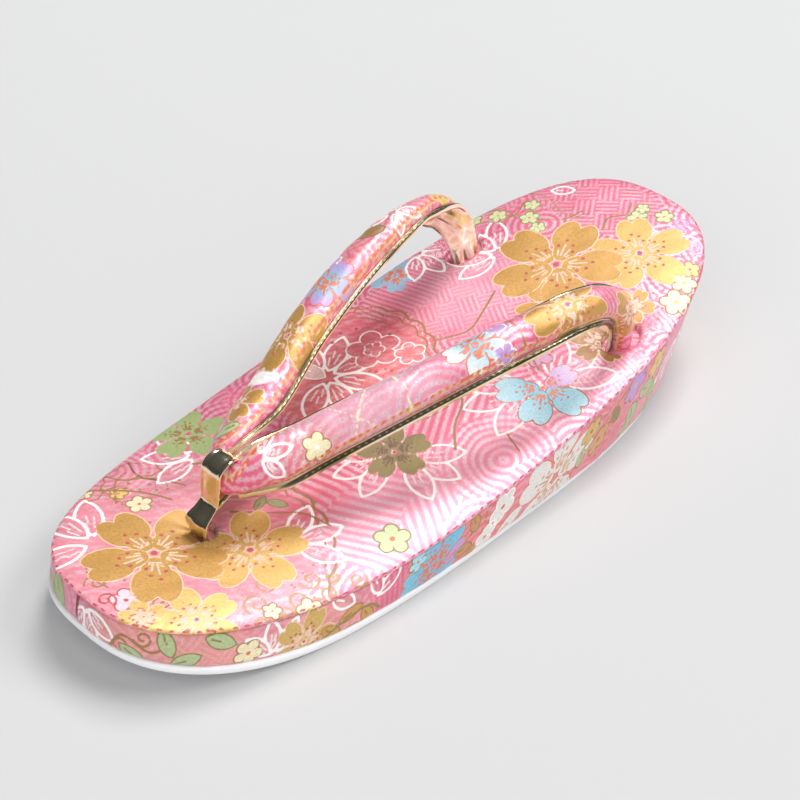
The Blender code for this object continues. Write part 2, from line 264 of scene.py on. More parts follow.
def arm_frames(first, count):
    """Middles, outward across, outer-face normals, row values and distance walked for the right arm."""
    last = len(ARM_ROWS) - 1
    step = (last - first) / (count - 1)
    rows = smooth_rows(ARM_KEYS, ARM_ROWS, first + step * np.arange(-1, count))
    y = FRONT_HOLE_Y + rows["along"] * (REAR_HOLE_Y - FRONT_HOLE_Y)
    middles = np.stack([rows["side"] * REAR_HOLE_SIDE, y, seam_height(y) + rows["height"] * STRAP_HEIGHT], -1)
    middles = np.vstack([middles, 2 * middles[-1] - middles[-2]])
    ahead = unit(middles[2:] - middles[:-2])
    middles = middles[1:-1]
    rows = {key: value[1:] for key, value in rows.items()}
    lean = np.maximum(0.0, 1 - rows["along"] / FRONT_TURN_ENDS_AT)
    outer = np.stack([np.ones(count), -lean, np.zeros(count)], -1)
    side = unit(outer - ahead * (ahead * outer).sum(-1, keepdims=True))
    over = np.cross(side, ahead)
    tilt = np.radians(rows["tilt"])[:, None]
    across = side * np.cos(tilt) - over * np.sin(tilt)
    normal = over * np.cos(tilt) + side * np.sin(tilt)
    walked = np.concatenate([[0], np.cumsum(np.linalg.norm(np.diff(middles, axis=0), axis=1))])
    return middles, across, normal, rows, walked


# Colours and the cloth's pattern.


def srgb(code):
    """A linear colour from its usual hexadecimal name."""
    parts = np.array([int(code[i : i + 2], 16) for i in (0, 2, 4)]) / 255
    return np.where(parts <= 0.04045, parts / 12.92, ((parts + 0.055) / 1.055) ** 2.4)


PINK = srgb("EC6489")
DEEP_PINK = srgb("E4486F")
LIGHT_PINK = srgb("F7A3BC")
PALE_PINK = srgb("FBD3DF")
CORAL = srgb("EC7A6C")
WHITE = srgb("FFFAF7")
CREAM = srgb("F6E8BE")
GOLD = srgb("D09B48")
PALE_GOLD = srgb("EBC672")
OLIVE = srgb("93803F")
BROWN = srgb("A8743C")
DARK_BROWN = srgb("7A4A26")
RED = srgb("C2403A")
ORANGE = srgb("E2703C")
BLUE = srgb("7CC3DE")
PALE_BLUE = srgb("BFE6F2")
DEEP_BLUE = srgb("5FA6D2")
LILAC = srgb("C79AD8")
GREEN = srgb("A9BE7B")
PALE_GREEN = srgb("CFE0A0")
DEEP_GREEN = srgb("B5C48F")
GREY_WHITE = srgb("E9E4DE")


def ellipse(a, b, long_radius, short_radius):
    q = np.hypot(a / long_radius, b / short_radius)
    return q * (q - 1) / (np.hypot(a / long_radius**2, b / short_radius**2) + 1e-9)


def vesica(a, b, half_length, half_width):
    """Distance to a pointed leaf that lies along a, about its middle."""
    radius = (half_length**2 + half_width**2) / (2 * half_width)
    return np.hypot(a, np.abs(b) + radius - half_width) - radius


def out_from(centre, reach, turn):
    """The place at the given distance from the centre, in the given direction."""
    angle = math.radians(turn)
    return centre[0] + reach * math.cos(angle), centre[1] + reach * math.sin(angle)


def segment(u, v, start, end):
    along = np.subtract(end, start)
    share = ((u - start[0]) * along[0] + (v - start[1]) * along[1]) / (along @ along + 1e-9)
    share = np.clip(share, 0, 1)
    return np.hypot(u - start[0] - share * along[0], v - start[1] - share * along[1])


def smooth_path(points):
    """The points of a curve through the given ones, five to each span."""
    spans = len(points) - 1
    path = smooth_rows("uv", points, np.linspace(0, spans, spans * 5 + 1))
    return list(zip(path["u"], path["v"]))


def from_middle(distance, pitch):
    """How far each place is from the middle of its step, on a line divided into even steps."""
    return np.abs((distance / pitch) % 1 - 0.5) * pitch


def bamboo(du, dv, turn, pitch):
    """Distance to the lines of a split-bamboo weave: squares of parallel lines, turned by turns."""
    angle = math.radians(turn)
    a = du * math.cos(angle) + dv * math.sin(angle)
    b = dv * math.cos(angle) - du * math.sin(angle)
    cell = (np.floor(a / (4 * pitch)) + np.floor(b / (4 * pitch))) % 2
    return from_middle(np.where(cell > 0, a, b), pitch) - 0.25 * pitch


def combed(du, dv, radius, pitch, share, under):
    """Rings whose outer edges have short teeth, like combed sand, laid over what is under them."""
    angle = np.arctan2(dv, du)
    r = np.hypot(du, dv) + 0.25 * ripple(du, dv, 7, 3)
    teeth = 0.24 * np.sin(angle * round(radius * 2.6)) * np.clip(r / radius * 2 - 0.6, 0, 1)
    ring = from_middle(r, pitch) - share * pitch / 2 + teeth
    return np.where(r < radius, ring, under)


def waves(u, v):
    """The ground's own weave: rows of overlapping rings, broken by patches of split bamboo."""
    damask = bamboo(u + 0.5 * ripple(u, v, 14, 1), v + 0.5 * ripple(u, v, 14, 2), 32, 1.8)
    rng = np.random.default_rng(12)
    for row in range(-7, 8):
        for place in range(-12, 44):
            cu = place * 15.0 + (row % 2) * 7.5 + rng.uniform(-2, 2)
            cv = row * 9.0 + rng.uniform(-2, 2)
            radius = rng.uniform(9.5, 13.5)
            if rng.uniform() < 0.25 or not np.any((np.abs(u - cu) < radius) & (np.abs(v - cv) < radius)):
                continue
            damask = combed(u - cu, v - cv, radius, 2.2, 0.48, damask)
    return damask


class Cloth:
    """The brocade on one surface: u and v are millimetres on the flat cloth at each of its points.

    fill is the distance to the edge of the nearest woven shape, below 0 inside it, and line the same for
    drawn lines. body is 0 in a shape that is only outlined, and rim the width of a shape's outline.
    """

    def __init__(self, u, v):
        self.u, self.v = u, v
        count = len(u)
        self.ground = np.tile(PINK, (count, 1))
        self.fill_colour = np.tile(GOLD, (count, 1))
        self.rim_colour = np.tile(WHITE, (count, 1))
        self.line_colour = np.tile(WHITE, (count, 1))
        self.fill = np.full(count, FAR)
        self.line = np.full(count, FAR)
        self.damask = waves(u, v)
        self.metal = np.zeros(count)
        self.body = np.zeros(count)
        self.rim = np.zeros(count)

    def near(self, centre, reach):
        """Numbers of the cloth's points in a square round the centre."""
        return np.flatnonzero(
            (np.abs(self.u - centre[0]) < reach) & (np.abs(self.v - centre[1]) < reach)
        )

    def tint(self, centre, radii, colour, soft, amount):
        """Colours the ground within an ellipse with a soft edge."""
        q = np.hypot((self.u - centre[0]) / radii[0], (self.v - centre[1]) / radii[1])
        share = np.clip((1 + soft - q) / (2 * soft), 0, 1)
        share = (share * share * (3 - 2 * share) * amount)[:, None]
        self.ground = self.ground * (1 - share) + colour * share

    def paint(self, at, distance, colour, metal, rim, width):
        """Lays a shape over what is there. With None as its colour it is only outlined."""
        old = self.fill[at]
        covered = np.where(old < 0, np.maximum(old, -distance), np.minimum(old, distance))
        self.fill[at] = np.where(distance < 0, distance, covered)
        self.line[at] = np.maximum(self.line[at], np.minimum(-distance, FAR))
        inside = at[(distance < 0) | ((distance < 1.2) & (distance <= old))]
        edge = at[(distance < 0) | ((distance < 0.7) & (distance <= np.abs(old)))]
        self.body[inside] = 0.0 if colour is None else 1.0
        self.metal[inside] = metal
        if colour is not None:
            shades = np.broadcast_to(colour, (len(at), 3))
            self.fill_colour[inside] = shades[np.isin(at, inside)]
        self.rim[edge] = 0.0 if rim is None else width
        if rim is not None:
            self.rim_colour[edge] = rim

    def draw(self, at, distance, width, colour):
        """Lays a line over what is there, along the places where distance is 0."""
        edge = distance - max(width, THINNEST_LINE) / 2
        shown = (edge < 1.2) & (edge < self.line[at])
        self.line_colour[at[shown]] = colour
        self.line[at] = np.minimum(self.line[at], edge)

    def local(self, centre, reach, turn):
        """The points near the centre, with their places in axes turned about it."""
        at = self.near(centre, reach)
        du, dv = self.u[at] - centre[0], self.v[at] - centre[1]
        angle = math.radians(turn)
        return at, du * math.cos(angle) + dv * math.sin(angle), dv * math.cos(angle) - du * math.sin(angle)

    def dots(self, places, size, colour):
        for u, v in places:
            at = self.near((u, v), size + 2)
            if len(at):
                self.draw(at, np.hypot(self.u[at] - u, self.v[at] - v), 2 * size, colour)

    def path(self, points, width, colour, smooth=True):
        """Draws a line through the points, curved unless smooth is off."""
        points = smooth_path(points) if smooth else points
        middle = np.mean(points, axis=0)
        reach = np.abs(np.subtract(points, middle)).max() + 3
        at = self.near(middle, reach)
        if not len(at):
            return
        distance = np.full(len(at), FAR)
        for start, end in zip(points, points[1:]):
            distance = np.minimum(distance, segment(self.u[at], self.v[at], start, end))
        self.draw(at, distance, width, colour)

    def sakura(self, centre, radius, turn, colour=GOLD, metal=0.8, rim=None, tip=None, dot=RED, skip=()):
        """A cherry blossom: five notched petals, their stamens and the dots at the stamens' ends."""
        centre = np.array(centre, float)
        if rim is None and metal > 0.3:
            rim = PALE_GOLD * 0.6 + PALE_PINK * 0.4
        places = []
        for k in range(5):
            if k in skip:
                continue
            angle = turn + 72 * k
            at, a, b = self.local(centre, radius * 1.25, angle)
            if not len(at):
                continue
            petal = np.minimum(
                ellipse(a - 0.67 * radius, b - 0.15 * radius, 0.33 * radius, 0.2 * radius),
                ellipse(a - 0.67 * radius, b + 0.15 * radius, 0.33 * radius, 0.2 * radius),
            )
            petal = np.minimum(petal, ellipse(a - 0.42 * radius, b, 0.34 * radius, 0.21 * radius))
            shade = colour
            if tip is not None:
                share = np.clip((a / radius - 0.25) / 0.6, 0, 1)[:, None]
                shade = colour * (1 - share) + tip * share
            self.paint(at, petal, shade, metal, rim, 0.32)
            for spread, reach in ((-20, 0.42), (-7, 0.56), (8, 0.48), (20, 0.36)):
                ray = math.radians(angle + spread)
                way = np.array([math.cos(ray), math.sin(ray)]) * radius
                stamen = PALE_GOLD * 0.5 + PALE_PINK * 0.5 if dot is RED else dot
                self.path([centre + way * 0.2, centre + way * (reach - 0.1)], 0.3, stamen, False)
                places.append(tuple(centre + way * reach))
        self.dots(places, 0.02 * radius + 0.2, dot)
        self.dots([tuple(centre)], 0.05 * radius, dot)

    def plum(self, centre, radius, turn, colour=CREAM, rim=BROWN, heart=ORANGE):
        """A small blossom with round petals and a drawn edge."""
        at = self.near(centre, radius * 1.3 + 1)
        if not len(at):
            return
        du, dv = self.u[at] - centre[0], self.v[at] - centre[1]
        shape = np.hypot(du, dv) - 0.4 * radius
        for k in range(5):
            middle = out_from((0, 0), 0.58 * radius, turn + 72 * k)
            shape = np.minimum(shape, np.hypot(du - middle[0], dv - middle[1]) - 0.37 * radius)
        self.paint(at, shape, colour, 0.0, rim, 0.4)
        if heart is not None:
            self.draw(at, np.hypot(du, dv), 0.3 * radius, heart)

    def leaf(self, centre, long_radius, short_radius, turn, colour=None, rim=WHITE, width=0.5, vein=True):
        """A pointed petal or leaf, drawn as a line and filled where it has a colour."""
        at, a, b = self.local(centre, long_radius + 2, turn)
        if not len(at):
            return
        width = width if colour is None else 0.4
        self.paint(at, vesica(a, b, long_radius, short_radius), colour, 0.0, rim, width)
        if vein and rim is not None:
            spine = np.hypot(np.maximum(np.abs(a + 0.3 * long_radius) - 0.3 * long_radius, 0), b)
            self.draw(at, spine, 0.3, rim)

    def outline_blossom(self, centre, radius, turns, rim=WHITE, width=0.7):
        """A line-drawn blossom: pointed petals at the given turns, with fine lines in each."""
        for turn in turns:
            middle = out_from(centre, 0.6 * radius, turn)
            self.leaf(middle, 0.44 * radius, 0.2 * radius, turn, rim=rim, width=width, vein=False)
            for spread, near, far in ((-9, 0.3, 0.5), (7, 0.34, 0.62), (-3, 0.5, 0.66)):
                ends = [out_from(centre, reach * radius, turn + spread) for reach in (near, far)]
                self.path(ends, 0.3, rim * 0.75 + PINK * 0.25, smooth=False)

    def scallop(self, centre, radius, bumps, first, last, width=0.75):
        """Draws an arc of small bumps from the first turn to the last."""
        at, du, dv = self.local(centre, radius + 4, 0)
        if not len(at):
            return
        angle = np.arctan2(dv, du)
        edge = radius + 1.3 * np.abs(np.sin(angle * bumps / 2))
        off = (np.degrees(angle) - (first + last) / 2 + 180) % 360 - 180
        outside = np.maximum(np.abs(off) - (last - first) / 2, 0) * 0.2
        self.draw(at, np.abs(np.hypot(du, dv) - edge) + outside, width, BROWN)

    def curl(self, centre, radius, turn, colour=BROWN, width=0.6, way=1):
        """Draws a spiral inwards, the other way round with way -1."""
        angles = np.radians(turn) + way * np.linspace(0, 2.6 * math.pi, 26)
        reach = radius * np.linspace(1, 0.18, 26)
        points = [(centre[0] + r * math.cos(t), centre[1] + r * math.sin(t)) for r, t in zip(reach, angles)]
        self.path(points, width, colour, smooth=False)

    def arcs(self, centre, radius, pitch):
        """Tone-on-tone rings, as in a wave pattern, that cover what they overlap."""
        self.damask = combed(self.u - centre[0], self.v - centre[1], radius, pitch, 0.5, self.damask)

    def stripes(self, centre, radii, turn, pitch):
        """Tone-on-tone parallel lines within an ellipse."""
        angle = math.radians(turn)
        du, dv = self.u - centre[0], self.v - centre[1]
        across = dv * math.cos(angle) - du * math.sin(angle) + 0.5 * ripple(self.u, self.v, 16, 4)
        line = from_middle(across, pitch) - pitch / 4
        inside = np.hypot(du / radii[0], dv / radii[1]) < 1
        self.damask = np.where(inside, line, self.damask)

    def plain(self, centre, radius):
        """Leaves the ground without its tone-on-tone weave."""
        r = np.hypot(self.u - centre[0], self.v - centre[1])
        self.damask = np.where(r < radius, 0.12 + 0.25 * ripple(self.u, self.v, 2.5, 9), self.damask)

    def lattice(self, centre, radii, turn, pitch):
        """Tone-on-tone split bamboo within an ellipse."""
        du, dv = self.u - centre[0], self.v - centre[1]
        inside = np.hypot(du / radii[0], dv / radii[1]) < 1
        self.damask = np.where(inside, bamboo(du, dv, turn, pitch), self.damask)

    def spare(self, place):
        """True where no petal covers the place."""
        nearest = np.argmin(np.hypot(self.u - place[0], self.v - place[1]))
        return self.fill[nearest] > 0.6 and self.line[nearest] > 0.6

    def attributes(self):
        """What the materials read at each point. cloth holds the place on the flat cloth."""
        return {
            "ground": self.ground,
            "fill_colour": self.fill_colour,
            "rim_colour": self.rim_colour,
            "line_colour": self.line_colour,
            "fill_edge": self.fill,
            "line_edge": self.line,
            "damask": self.damask,
            "metal": self.metal,
            "body": self.body,
            "rim": self.rim,
            "cloth": np.column_stack([self.u, self.v, np.zeros(len(self.u))]),
        }


def footbed_pattern(u, v):
    """The footbed's blossoms: u runs from toe to heel, v from the left side to the right."""
    cloth = Cloth(u, v)
    cloth.tint((-75, 3), (36, 36), CORAL * 0.45 + LIGHT_PINK * 0.55, 0.3, 0.85)
    cloth.tint((0, -20), (25, 25), CORAL, 0.12, 0.62)
    cloth.tint((-40, 8), (14, 10), DEEP_PINK, 0.6, 0.55)
    cloth.tint((28, -30), (20, 14), DEEP_PINK, 0.6, 0.6)
    cloth.tint((92, -12), (14, 22), DEEP_PINK, 0.5, 0.45)
    cloth.tint((-30, 30), (22, 14), LIGHT_PINK, 0.5, 0.8)
    cloth.tint((0, 34), (26, 12), LIGHT_PINK, 0.5, 0.7)
    cloth.tint((50, 36), (30, 8), LIGHT_PINK, 0.5, 0.6)
    cloth.tint((44, -16), (18, 14), LIGHT_PINK, 0.5, 0.5)
    cloth.tint((70, 30), (20, 9), DEEP_PINK, 0.5, 0.4)

    cloth.stripes((-30, 10), (14, 16), 80, 2.6)
    cloth.stripes((-34, 28), (16, 14), 62, 2.6)
    cloth.stripes((-20, 38), (14, 11), 118, 2.4)
    cloth.stripes((-3, 14), (20, 9), -32, 2.4)
    cloth.arcs((20, 47), 19, 2.2)
    cloth.arcs((2, 35), 16, 2.2)
    cloth.stripes((2, 48), (15, 9), 75, 2.4)
    cloth.arcs((-17, 50), 13, 2.2)
    cloth.plain((-75, 3), 32)
    cloth.plain((0, -20), 22.5)
    cloth.lattice((42, -12), (20, 16), 32, 1.5)
    cloth.stripes((32, -30), (15, 9), 82, 1.6)
    cloth.lattice((52, 34), (20, 9), 10, 1.5)
    cloth.lattice((92, -12), (12, 22), 55, 1.6)
    cloth.stripes((-46, -8), (12, 9), 40, 1.6)
    cloth.arcs((-70, -34), 12, 2.0)
    cloth.lattice((72, -38), (18, 8), 35, 1.5)

    # Painted shade in the front hole: the ground is darkened within it.
    cloth.tint((FRONT_HOLE_Y, 0.5), (3.6, 3.6), srgb("8A3340"), 0.4, 0.95)

    # The medallion round the toe, and its blossoms.
    cloth.scallop((-75, 5), 33.0, 26, -52, 62)
    cloth.scallop((-75, 5), 30.6, 26, -40, 50, width=0.4)
    cloth.scallop((-75, 5), 32.0, 26, -112, -62, width=0.6)
    cloth.scallop((-68, -26), 7.5, 8, 120, 420, width=0.5)
    cloth.plum((-73, -18), 3.6, 10, CREAM, BROWN)
    cloth.plum((-74, -25), 2.6, 40, PALE_GOLD, BROWN)
    cloth.plum((-80, -31), 2.4, 20, CREAM, BROWN)
    cloth.path([(-82, -35), (-76, -29), (-70, -22), (-66, -14)], 0.7, BROWN)
    cloth.path([(-72, -35), (-70, -29), (-64, -24), (-60, -16)], 0.6, BROWN)
    cloth.path([(-77, -22), (-72, -29), (-67, -31)], 0.5, BROWN)
    cloth.path([(-64, -34), (-66, -27), (-62, -20)], 0.5, DARK_BROWN)
    cloth.outline_blossom((-90, -13), 17, (-63, -98, 188), width=0.85)
    cloth.outline_blossom((-56, 18), 14, (-28, 16, 62), width=0.85)
    cloth.outline_blossom((-50, -23), 14, (222, 174, 262), width=0.8)
    cloth.plum((-97.5, 8), 4.2, 10, PALE_PINK, RED, RED)
    cloth.curl((-99, -1), 3.0, 200)
    cloth.curl((-92, 13.5), 2.4, 30)
    cloth.curl((-101, 5), 2.6, 90, RED, way=-1)
    cloth.path([(-96, -9), (-99, -4), (-98, 2)], 0.5, BROWN)
    for centre, radius, turn, way in (
        ((-75, 28), 3.4, 160, 1), ((-69, 25), 3.0, -60, -1), ((-66, 33), 3.6, 20, 1),
        ((-60, 30), 3.0, 200, -1), ((-59, 36), 2.6, 90, 1), ((-72, 35), 2.8, 300, 1),
        ((-78, 33), 2.4, 120, -1), ((-51, 37), 2.4, 10, 1), ((-55, 33), 2.0, 250, -1),
    ):
        cloth.curl(centre, radius, turn, PALE_GOLD * 0.35 + BROWN * 0.65, 0.65, way)
    cloth.plum((-66, 36.5), 3.6, 0, CREAM, BROWN, PALE_GOLD)
    cloth.plum((-73.5, 31.5), 2.6, 30, CREAM, BROWN)
    cloth.leaf((-48, 5), 3.0, 1.4, 60, DEEP_GREEN * 0.5 + OLIVE * 0.5, OLIVE)
    cloth.leaf((-51, 2), 2.6, 1.2, -20, DEEP_GREEN * 0.5 + OLIVE * 0.5, OLIVE)
    cloth.path([(-58, -1), (-52, 6), (-46, 12), (-44, 20)], 0.7, BROWN)
    cloth.path([(-46, -4), (-42, 4), (-41, 12)], 0.6, BROWN)
    cloth.sakura((-89.0, 23.0), 10.5, 70, PALE_GOLD * 0.8 + GOLD * 0.2, 0.7)
    cloth.sakura((-98.0, 15.0), 6.0, 150, PALE_GOLD * 0.8 + GOLD * 0.2, 0.7)
    cloth.sakura((-64.0, 13.0), 14.2, 95, PALE_GOLD * 0.45 + GOLD * 0.55, 0.7)
    cloth.sakura((-82.0, -1.0), 17.4, -90, GOLD, 0.8)

    # The pale green blossom behind the left arm.
    cloth.sakura((-46.0, -32.0), 10.5, 165, GREEN, 0.0, tip=GREEN * 0.8 + OLIVE * 0.2, dot=BROWN)

    # The right side between the arm and the edge.
    cloth.plum((-36, 33.5), 5.0, 20, PALE_GREEN, OLIVE, ORANGE)
    cloth.outline_blossom((-17, 13), 15, (198, 234, 160), width=0.75)
    cloth.outline_blossom((-15, 16), 15.5, (72, 108, 40), width=0.75)
    cloth.sakura((-15.0, 13.0), 9.6, 20, OLIVE, 0.25, dot=DARK_BROWN)
    cloth.path([(-4, 24), (2, 18), (9, 14), (13, 9)], 0.7, BROWN)
    cloth.path([(-6, 8), (0, 11), (6, 12)], 0.5, BROWN)
    cloth.path([(7, 36), (9, 30), (12, 26)], 0.5, BROWN)
    cloth.outline_blossom((26, 23), 19, (202, 164, 232), width=0.75)
    cloth.outline_blossom((29, 27), 17.5, (-2, -34, 32), width=0.75)
    cloth.plum((35, 17), 4.6, 10, LILAC * 0.4 + LIGHT_PINK * 0.6, RED, RED)
    cloth.path([(30, 12), (33, 16), (31, 21)], 0.6, BROWN)
    cloth.sakura(
        (27.0, 26.0), 12.6, 80, BLUE, 0.05, rim=BROWN, tip=PALE_BLUE, dot=ORANGE, skip=(3, 4)
    )
    cloth.sakura(
        (27.0, 26.0), 10.4, 80, LILAC, 0.05, rim=ORANGE, tip=srgb("E3C8EC"), dot=ORANGE, skip=(0, 1, 2, 3)
    )

    # The orange medallion between the arms.
    cloth.scallop((0, -20), 23.4, 20, -76, 76)
    cloth.scallop((0, -20), 21.2, 20, -60, 60, width=0.4)
    cloth.path([(12, -36), (17, -30), (19, -22)], 0.5, BROWN)
    cloth.outline_blossom((-7, -21), 16, (-30, 14, -72, 60, 108, 150), width=0.8)
    cloth.plum((9, -19), 8.0, 15, None, WHITE, None)
    cloth.plum((9, -19), 3.2, 50, None, WHITE, CORAL)
    cloth.plum((14, -10), 4.6, 15, None, WHITE, CORAL)
    cloth.leaf((-8, -26), 5.0, 2.6, 80, GREY_WHITE * 0.6 + CORAL * 0.4, WHITE)
    stamens = [(4, -30), (8, -31), (12, -29), (3, -12), (6, -9), (-2, -33), (16, -20), (-12, -30)]
    cloth.dots(stamens, 0.55, RED)
    cloth.path([(-18, -28), (-10, -31), (-4, -34)], 0.6, BROWN)
    cloth.path([(2, -34), (8, -35), (14, -38)], 0.6, BROWN)
    cloth.path([(22, -8), (30, -4), (38, -6), (46, -9)], 0.7, BROWN)
    cloth.path([(20, -3), (28, 2), (34, 0)], 0.6, BROWN)

    # The far side towards the heel.
    cloth.sakura((35.0, -37.0), 7.6, 60, DEEP_BLUE * 0.7 + GREY_WHITE * 0.3, 0.05, dot=ORANGE)
    cloth.outline_blossom((46, -40), 13, (62, 98, 135, 20), width=0.75)
    cloth.outline_blossom((59, -19), 14.5, (186, 222, -50, -86), width=0.75)

    # The heel's gold blossoms.
    for points in (
        [(70, -38), (74, -31), (73, -24), (78, -17)],
        [(84, -32), (85, -24), (82, -16), (84, -10)],
        [(68, -30), (74, -27), (80, -29)],
        [(76, -20), (80, -14), (86, -12)],
        [(62, -36), (67, -32), (70, -26)],
        [(83, -2), (88, -4), (92, -1), (97, -3)],
    ):
        cloth.path(points, 0.6, OLIVE * 0.5 + BROWN * 0.5)
    for centre, radius, turn in (
        ((71, -31), 3.0, 10), ((75, -22.5), 3.2, 30), ((80, -26), 2.6, 50), ((73, -17.5), 2.6, 0),
        ((66, -36), 2.8, 20), ((93, 2.5), 3.4, 15), ((98, 8), 3.0, 40), ((97, 1), 2.4, 0),
        ((79, -36), 2.8, 12),
    ):
        cloth.plum(centre, radius, turn, srgb("D9DDA6"), OLIVE, ORANGE)
    cloth.leaf((90, -23), 3.4, 1.9, 55, rim=WHITE, width=0.7)
    cloth.outline_blossom((97, 17), 9.5, (200, 240, 160, 120), rim=srgb("EBD2EE"), width=0.7)
    cloth.curl((94, 23), 3.4, 0, LILAC)
    cloth.curl((99, 14), 2.8, 120, LILAC)
    cloth.sakura((49.5, 25.5), 8.0, 30, GOLD * 0.5 + DARK_BROWN * 0.5, 0.4)
    cloth.sakura((65.5, 24.0), 6.0, 60, GOLD, 0.6)
    cloth.sakura((57.5, 32.0), 5.4, 10, PALE_GOLD, 0.6)
    cloth.leaf((54, 29), 4.4, 2.3, 20, PALE_PINK, WHITE)
    cloth.plum((74, 32), 4.8, 20, CREAM, BROWN, PALE_GOLD)
    cloth.plum((81, 29), 4.0, 50, CREAM, BROWN, PALE_GOLD)
    cloth.plum((86, 27), 3.2, 20, PALE_GOLD, BROWN, ORANGE)
    cloth.sakura((82.0, 12.5), 14.4, 94, PALE_GOLD * 0.45 + GOLD * 0.55, 0.75)
    cloth.sakura((52.0, 8.0), 11.0, 140, GOLD, 0.8)
    cloth.sakura((64.5, -3.0), 18.2, -88, GOLD, 0.8)

    # Brown specks scattered on the ground between the blossoms.
    rng = np.random.default_rng(4)
    for centre, spread, count in (
        ((-68, -22), 10, 26), ((-60, 24), 9, 20), ((0, -20), 17, 26), ((76, -24), 9, 24), ((76, 28), 8, 18),
        ((-96, 4), 6, 14), ((60, 30), 7, 14),
    ):
        places = np.array(centre) + rng.normal(0, spread * 0.5, (count, 2))
        clear = [p for p in places if cloth.spare(p)]
        cloth.dots(clear, 0.45, BROWN)
    return cloth


def around(s):
    """Distances along the wrap count on from its join at the toe."""
    return s if s > WRAP_JOIN else s + PERIMETER


